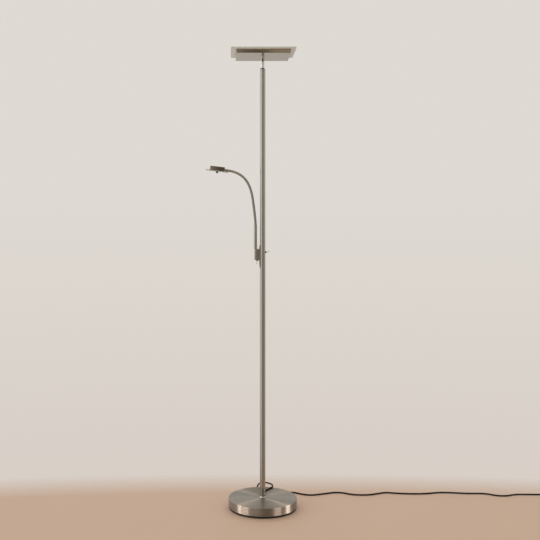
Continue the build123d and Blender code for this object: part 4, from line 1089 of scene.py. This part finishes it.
mains_lead, lead_path = lay_cord()
add_piece(mains_lead, cord_sheath, "stand", "cord_black", "cord_run", "cord_coil")
relief = add_piece(exit_relief(lead_path), black_plastic, "stand", "black_plastic")
plug = add_piece(plug_shell(), black_plastic, "stand", "plug_black", "plug_body")

PIN_SLEEVE_RADIUS = 0.0021
PIN_SLEEVE_LENGTH = 0.009
pins_low, pins_high = corners("plug_pins")
pin_radius = (pins_high[2] - pins_low[2]) / 2
for side, pin_x in (("left", pins_low[0] + pin_radius), ("right", pins_high[0] - pin_radius)):
    sleeve = ring(
        f"pin_sleeve_{side}", pin_radius - FINE_EDGE, PIN_SLEEVE_RADIUS, 0, PIN_SLEEVE_LENGTH,
        (FINE_EDGE / 2, FINE_EDGE / 2), (pin_x, pins_high[1], pins_high[2] - pin_radius),
        axis=(0, -1, 0), columns=32,
    )
    add_piece(sleeve, black_plastic, "stand", "black_plastic")

# Floor

FLOOR_HALF_SIDE = 6.0
FLOOR_COLOUR = (0.59, 0.415, 0.305)
FLOOR_LIGHTER = 1.05
# Each oval's middle and reach, and the shares of its reach between which it fades
SEEN_OVAL = ((0.05, -1.2, 0), (4.0, 1.65, 1.0), (0.84, 1.0))
MIRRORED_OVAL = ((0.05, -0.01, 0), (4.0, 0.38, 1.0), (0.55, 0.95))


def inside_oval(tree, vector, middle, reach, fade):
    given = {"Vector": vector, "Location": middle, "Scale": reach}
    oval = add_node(tree, "Mapping", given, vector_type="TEXTURE").outputs[0]
    distance = add_node(tree, "VectorMath", {0: oval}, operation="LENGTH").outputs["Value"]
    return span(tree, distance, *fade, 1.0, 0.0)


def plain_floor():
    """A plain floor that gives way to the background at the edge of an oval, just behind the
    cord. Mirrored in the lamp it ends sooner, so the pole mirrors the dark stretch to its foot."""
    made, tree, shader = new_material("pale_floor", roughness=0.6)
    vector = object_place(tree)
    lighter = tuple(part * FLOOR_LIGHTER for part in FLOOR_COLOUR)
    faint = noise(tree, vector, scale=3.0, detail=3.0)
    feed(tree, mixed(tree, faint, FLOOR_COLOUR, lighter), shader.inputs["Base Color"])
    in_mirror = add_node(tree, "LightPath", {}).outputs["Is Glossy Ray"]
    seen, mirrored = (inside_oval(tree, vector, *oval) for oval in (SEEN_OVAL, MIRRORED_OVAL))
    choose = add_node(tree, "Mix", {0: in_mirror, 2: seen, 3: mirrored})
    feed(tree, choose.outputs[0], shader.inputs["Alpha"])
    corner = np.array([[-1, -1, 0], [1, -1, 0], [1, 1, 0], [-1, 1, 0]]) * FLOOR_HALF_SIDE
    mesh = bpy.data.meshes.new("floor")
    mesh.from_pydata(corner.tolist(), [], [(0, 1, 2, 3)])
    floor = new_object("floor", mesh)
    finish_with(floor, made)


# Light

BACKGROUND = (0.735, 0.700, 0.655)
LOW_BACKGROUND = (0.68, 0.615, 0.56)
BACKGROUND_FALL = (-0.32, 0.02)
LEFT_LIGHT = (1.15, 1.12, 1.08)
RIGHT_LIGHT = (0.72, 0.695, 0.655)
LOW_LEFT_LIGHT = (0.92, 0.88, 0.82)
LOW_RIGHT_LIGHT = (0.52, 0.49, 0.45)
LEFT_TO_RIGHT = (-0.9, 0.1)
LOW_TO_HIGH = (-0.1, 0.02)
ROOM_SHADE = (0.12, 0.095, 0.068)
SHADE_TURN = np.radians(11)
SHADE_SPAN = (0.90, 0.98)
SHADE_TOP = (0.25, 0.6)
SMALLEST_LEVEL = 0.001


def room_light():
    """The world: plain and pale where the camera sees it, a little warmer low down. For light and
    reflections it is a room, paler on the left and darker below, with a dark stretch in front of
    the lamp, a little to its right. It fades as the cosine of the level angle from the stretch's
    middle falls through SHADE_SPAN."""
    world = bpy.data.worlds.new("room")
    bpy.context.scene.world = world
    world.use_nodes = True
    tree = world.node_tree
    x, y, z = split(tree, add_node(tree, "TexCoord", {}).outputs["Generated"])
    background = mixed(tree, span(tree, z, *BACKGROUND_FALL), LOW_BACKGROUND, BACKGROUND)
    seen = add_node(tree, "Background", {"Color": background})
    level = math(tree, "SQRT", weighted_sum(tree, 0.0, (x, x), (y, y)))
    ahead = weighted_sum(tree, 0.0, (x, np.sin(SHADE_TURN)), (y, -np.cos(SHADE_TURN)))
    toward = math(tree, "DIVIDE", ahead, math(tree, "MAXIMUM", level, SMALLEST_LEVEL))
    below_top = span(tree, z, *SHADE_TOP, 1.0, 0.0)
    shade = math(tree, "MULTIPLY", span(tree, toward, *SHADE_SPAN), below_top)
    to_right = span(tree, x, *LEFT_TO_RIGHT)
    low_walls = mixed(tree, to_right, LOW_LEFT_LIGHT, LOW_RIGHT_LIGHT)
    high_walls = mixed(tree, to_right, LEFT_LIGHT, RIGHT_LIGHT)
    walls = mixed(tree, span(tree, z, *LOW_TO_HIGH), low_walls, high_walls)
    shine = tree.nodes["Background"]
    feed(tree, mixed(tree, shade, walls, ROOM_SHADE), shine.inputs["Color"])
    to_camera = add_node(tree, "LightPath", {}).outputs["Is Camera Ray"]
    given = {0: to_camera, 1: shine.outputs[0], 2: seen.outputs[0]}
    choose = add_node(tree, "MixShader", given)
    feed(tree, choose.outputs[0], tree.nodes["World Output"].inputs["Surface"])


WARM = (1.0, 0.93, 0.88)
PINKISH = (1.0, 0.82, 0.77)
OLIVE = (1.0, 0.9, 0.66)
PALE = (1.0, 0.97, 0.93)
BASE = (0, 0, 0)
HEAD = (0, 0, 1.786)
# Name, place, what it is aimed at, width, height, power, colour, and the one piece it lights
SOFT_BOXES = [
    ("low_left_box", (-2.0, -0.35, 0.25), BASE, 0.42, 0.5, 14, WARM, spun_cover),
    ("low_right_box", (2.0, -0.10, 0.25), BASE, 0.60, 0.5, 20, WARM, spun_cover),
    ("front_left_box", (-1.72, -1.06, 0.25), BASE, 0.80, 0.5, 13, PINKISH, spun_cover),
    ("front_right_box", (1.46, -1.36, 0.25), BASE, 0.80, 0.5, 11, PINKISH, spun_cover),
    ("head_box", (0.65, -2.41, 2.18), HEAD, 1.0, 0.3, 0.4, OLIVE, tray),
    ("back_left_box", (-1.25, 2.7, 2.9), BASE, 0.3, 0.3, 5, PALE, None),
    ("back_right_box", (1.25, 2.7, 2.9), BASE, 0.3, 0.3, 5, PALE, None),
]


def soft_box(name, place_at, aim, width, height, power, colour, lit_piece):
    """A soft light that the camera doesn't see. One given a piece lights nothing else."""
    light = bpy.data.lights.new(name, "AREA")
    light.shape = "RECTANGLE"
    light.size = width
    light.size_y = height
    light.energy = power
    light.color = colour
    lamp = new_object(name, light)
    lamp.location = place_at
    lamp.rotation_euler = (Vector(aim) - Vector(place_at)).to_track_quat("-Z", "Y").to_euler()
    lamp.visible_camera = False
    if lit_piece:
        receivers = bpy.data.collections.new(f"{name}_receivers")
        receivers.objects.link(lit_piece)
        lamp.light_linking.receiver_collection = receivers


def photo_camera():
    """The photograph's camera: level, at 1.21 m, with its frame shifted rather than tilted."""
    data = bpy.data.cameras.new("camera")
    data.sensor_width = 36.0
    data.lens = 61.67
    data.shift_x = 0.0704
    data.shift_y = -0.1296
    camera = new_object("camera", data)
    camera.location = (-0.121, -3.655, 1.214)
    camera.rotation_euler = (np.pi / 2, 0, 0)
    bpy.context.scene.camera = camera


plain_floor()
room_light()
for row in SOFT_BOXES:
    soft_box(*row)
photo_camera()
bpy.context.scene.view_settings.view_transform = "Standard"

low, high = cad_box
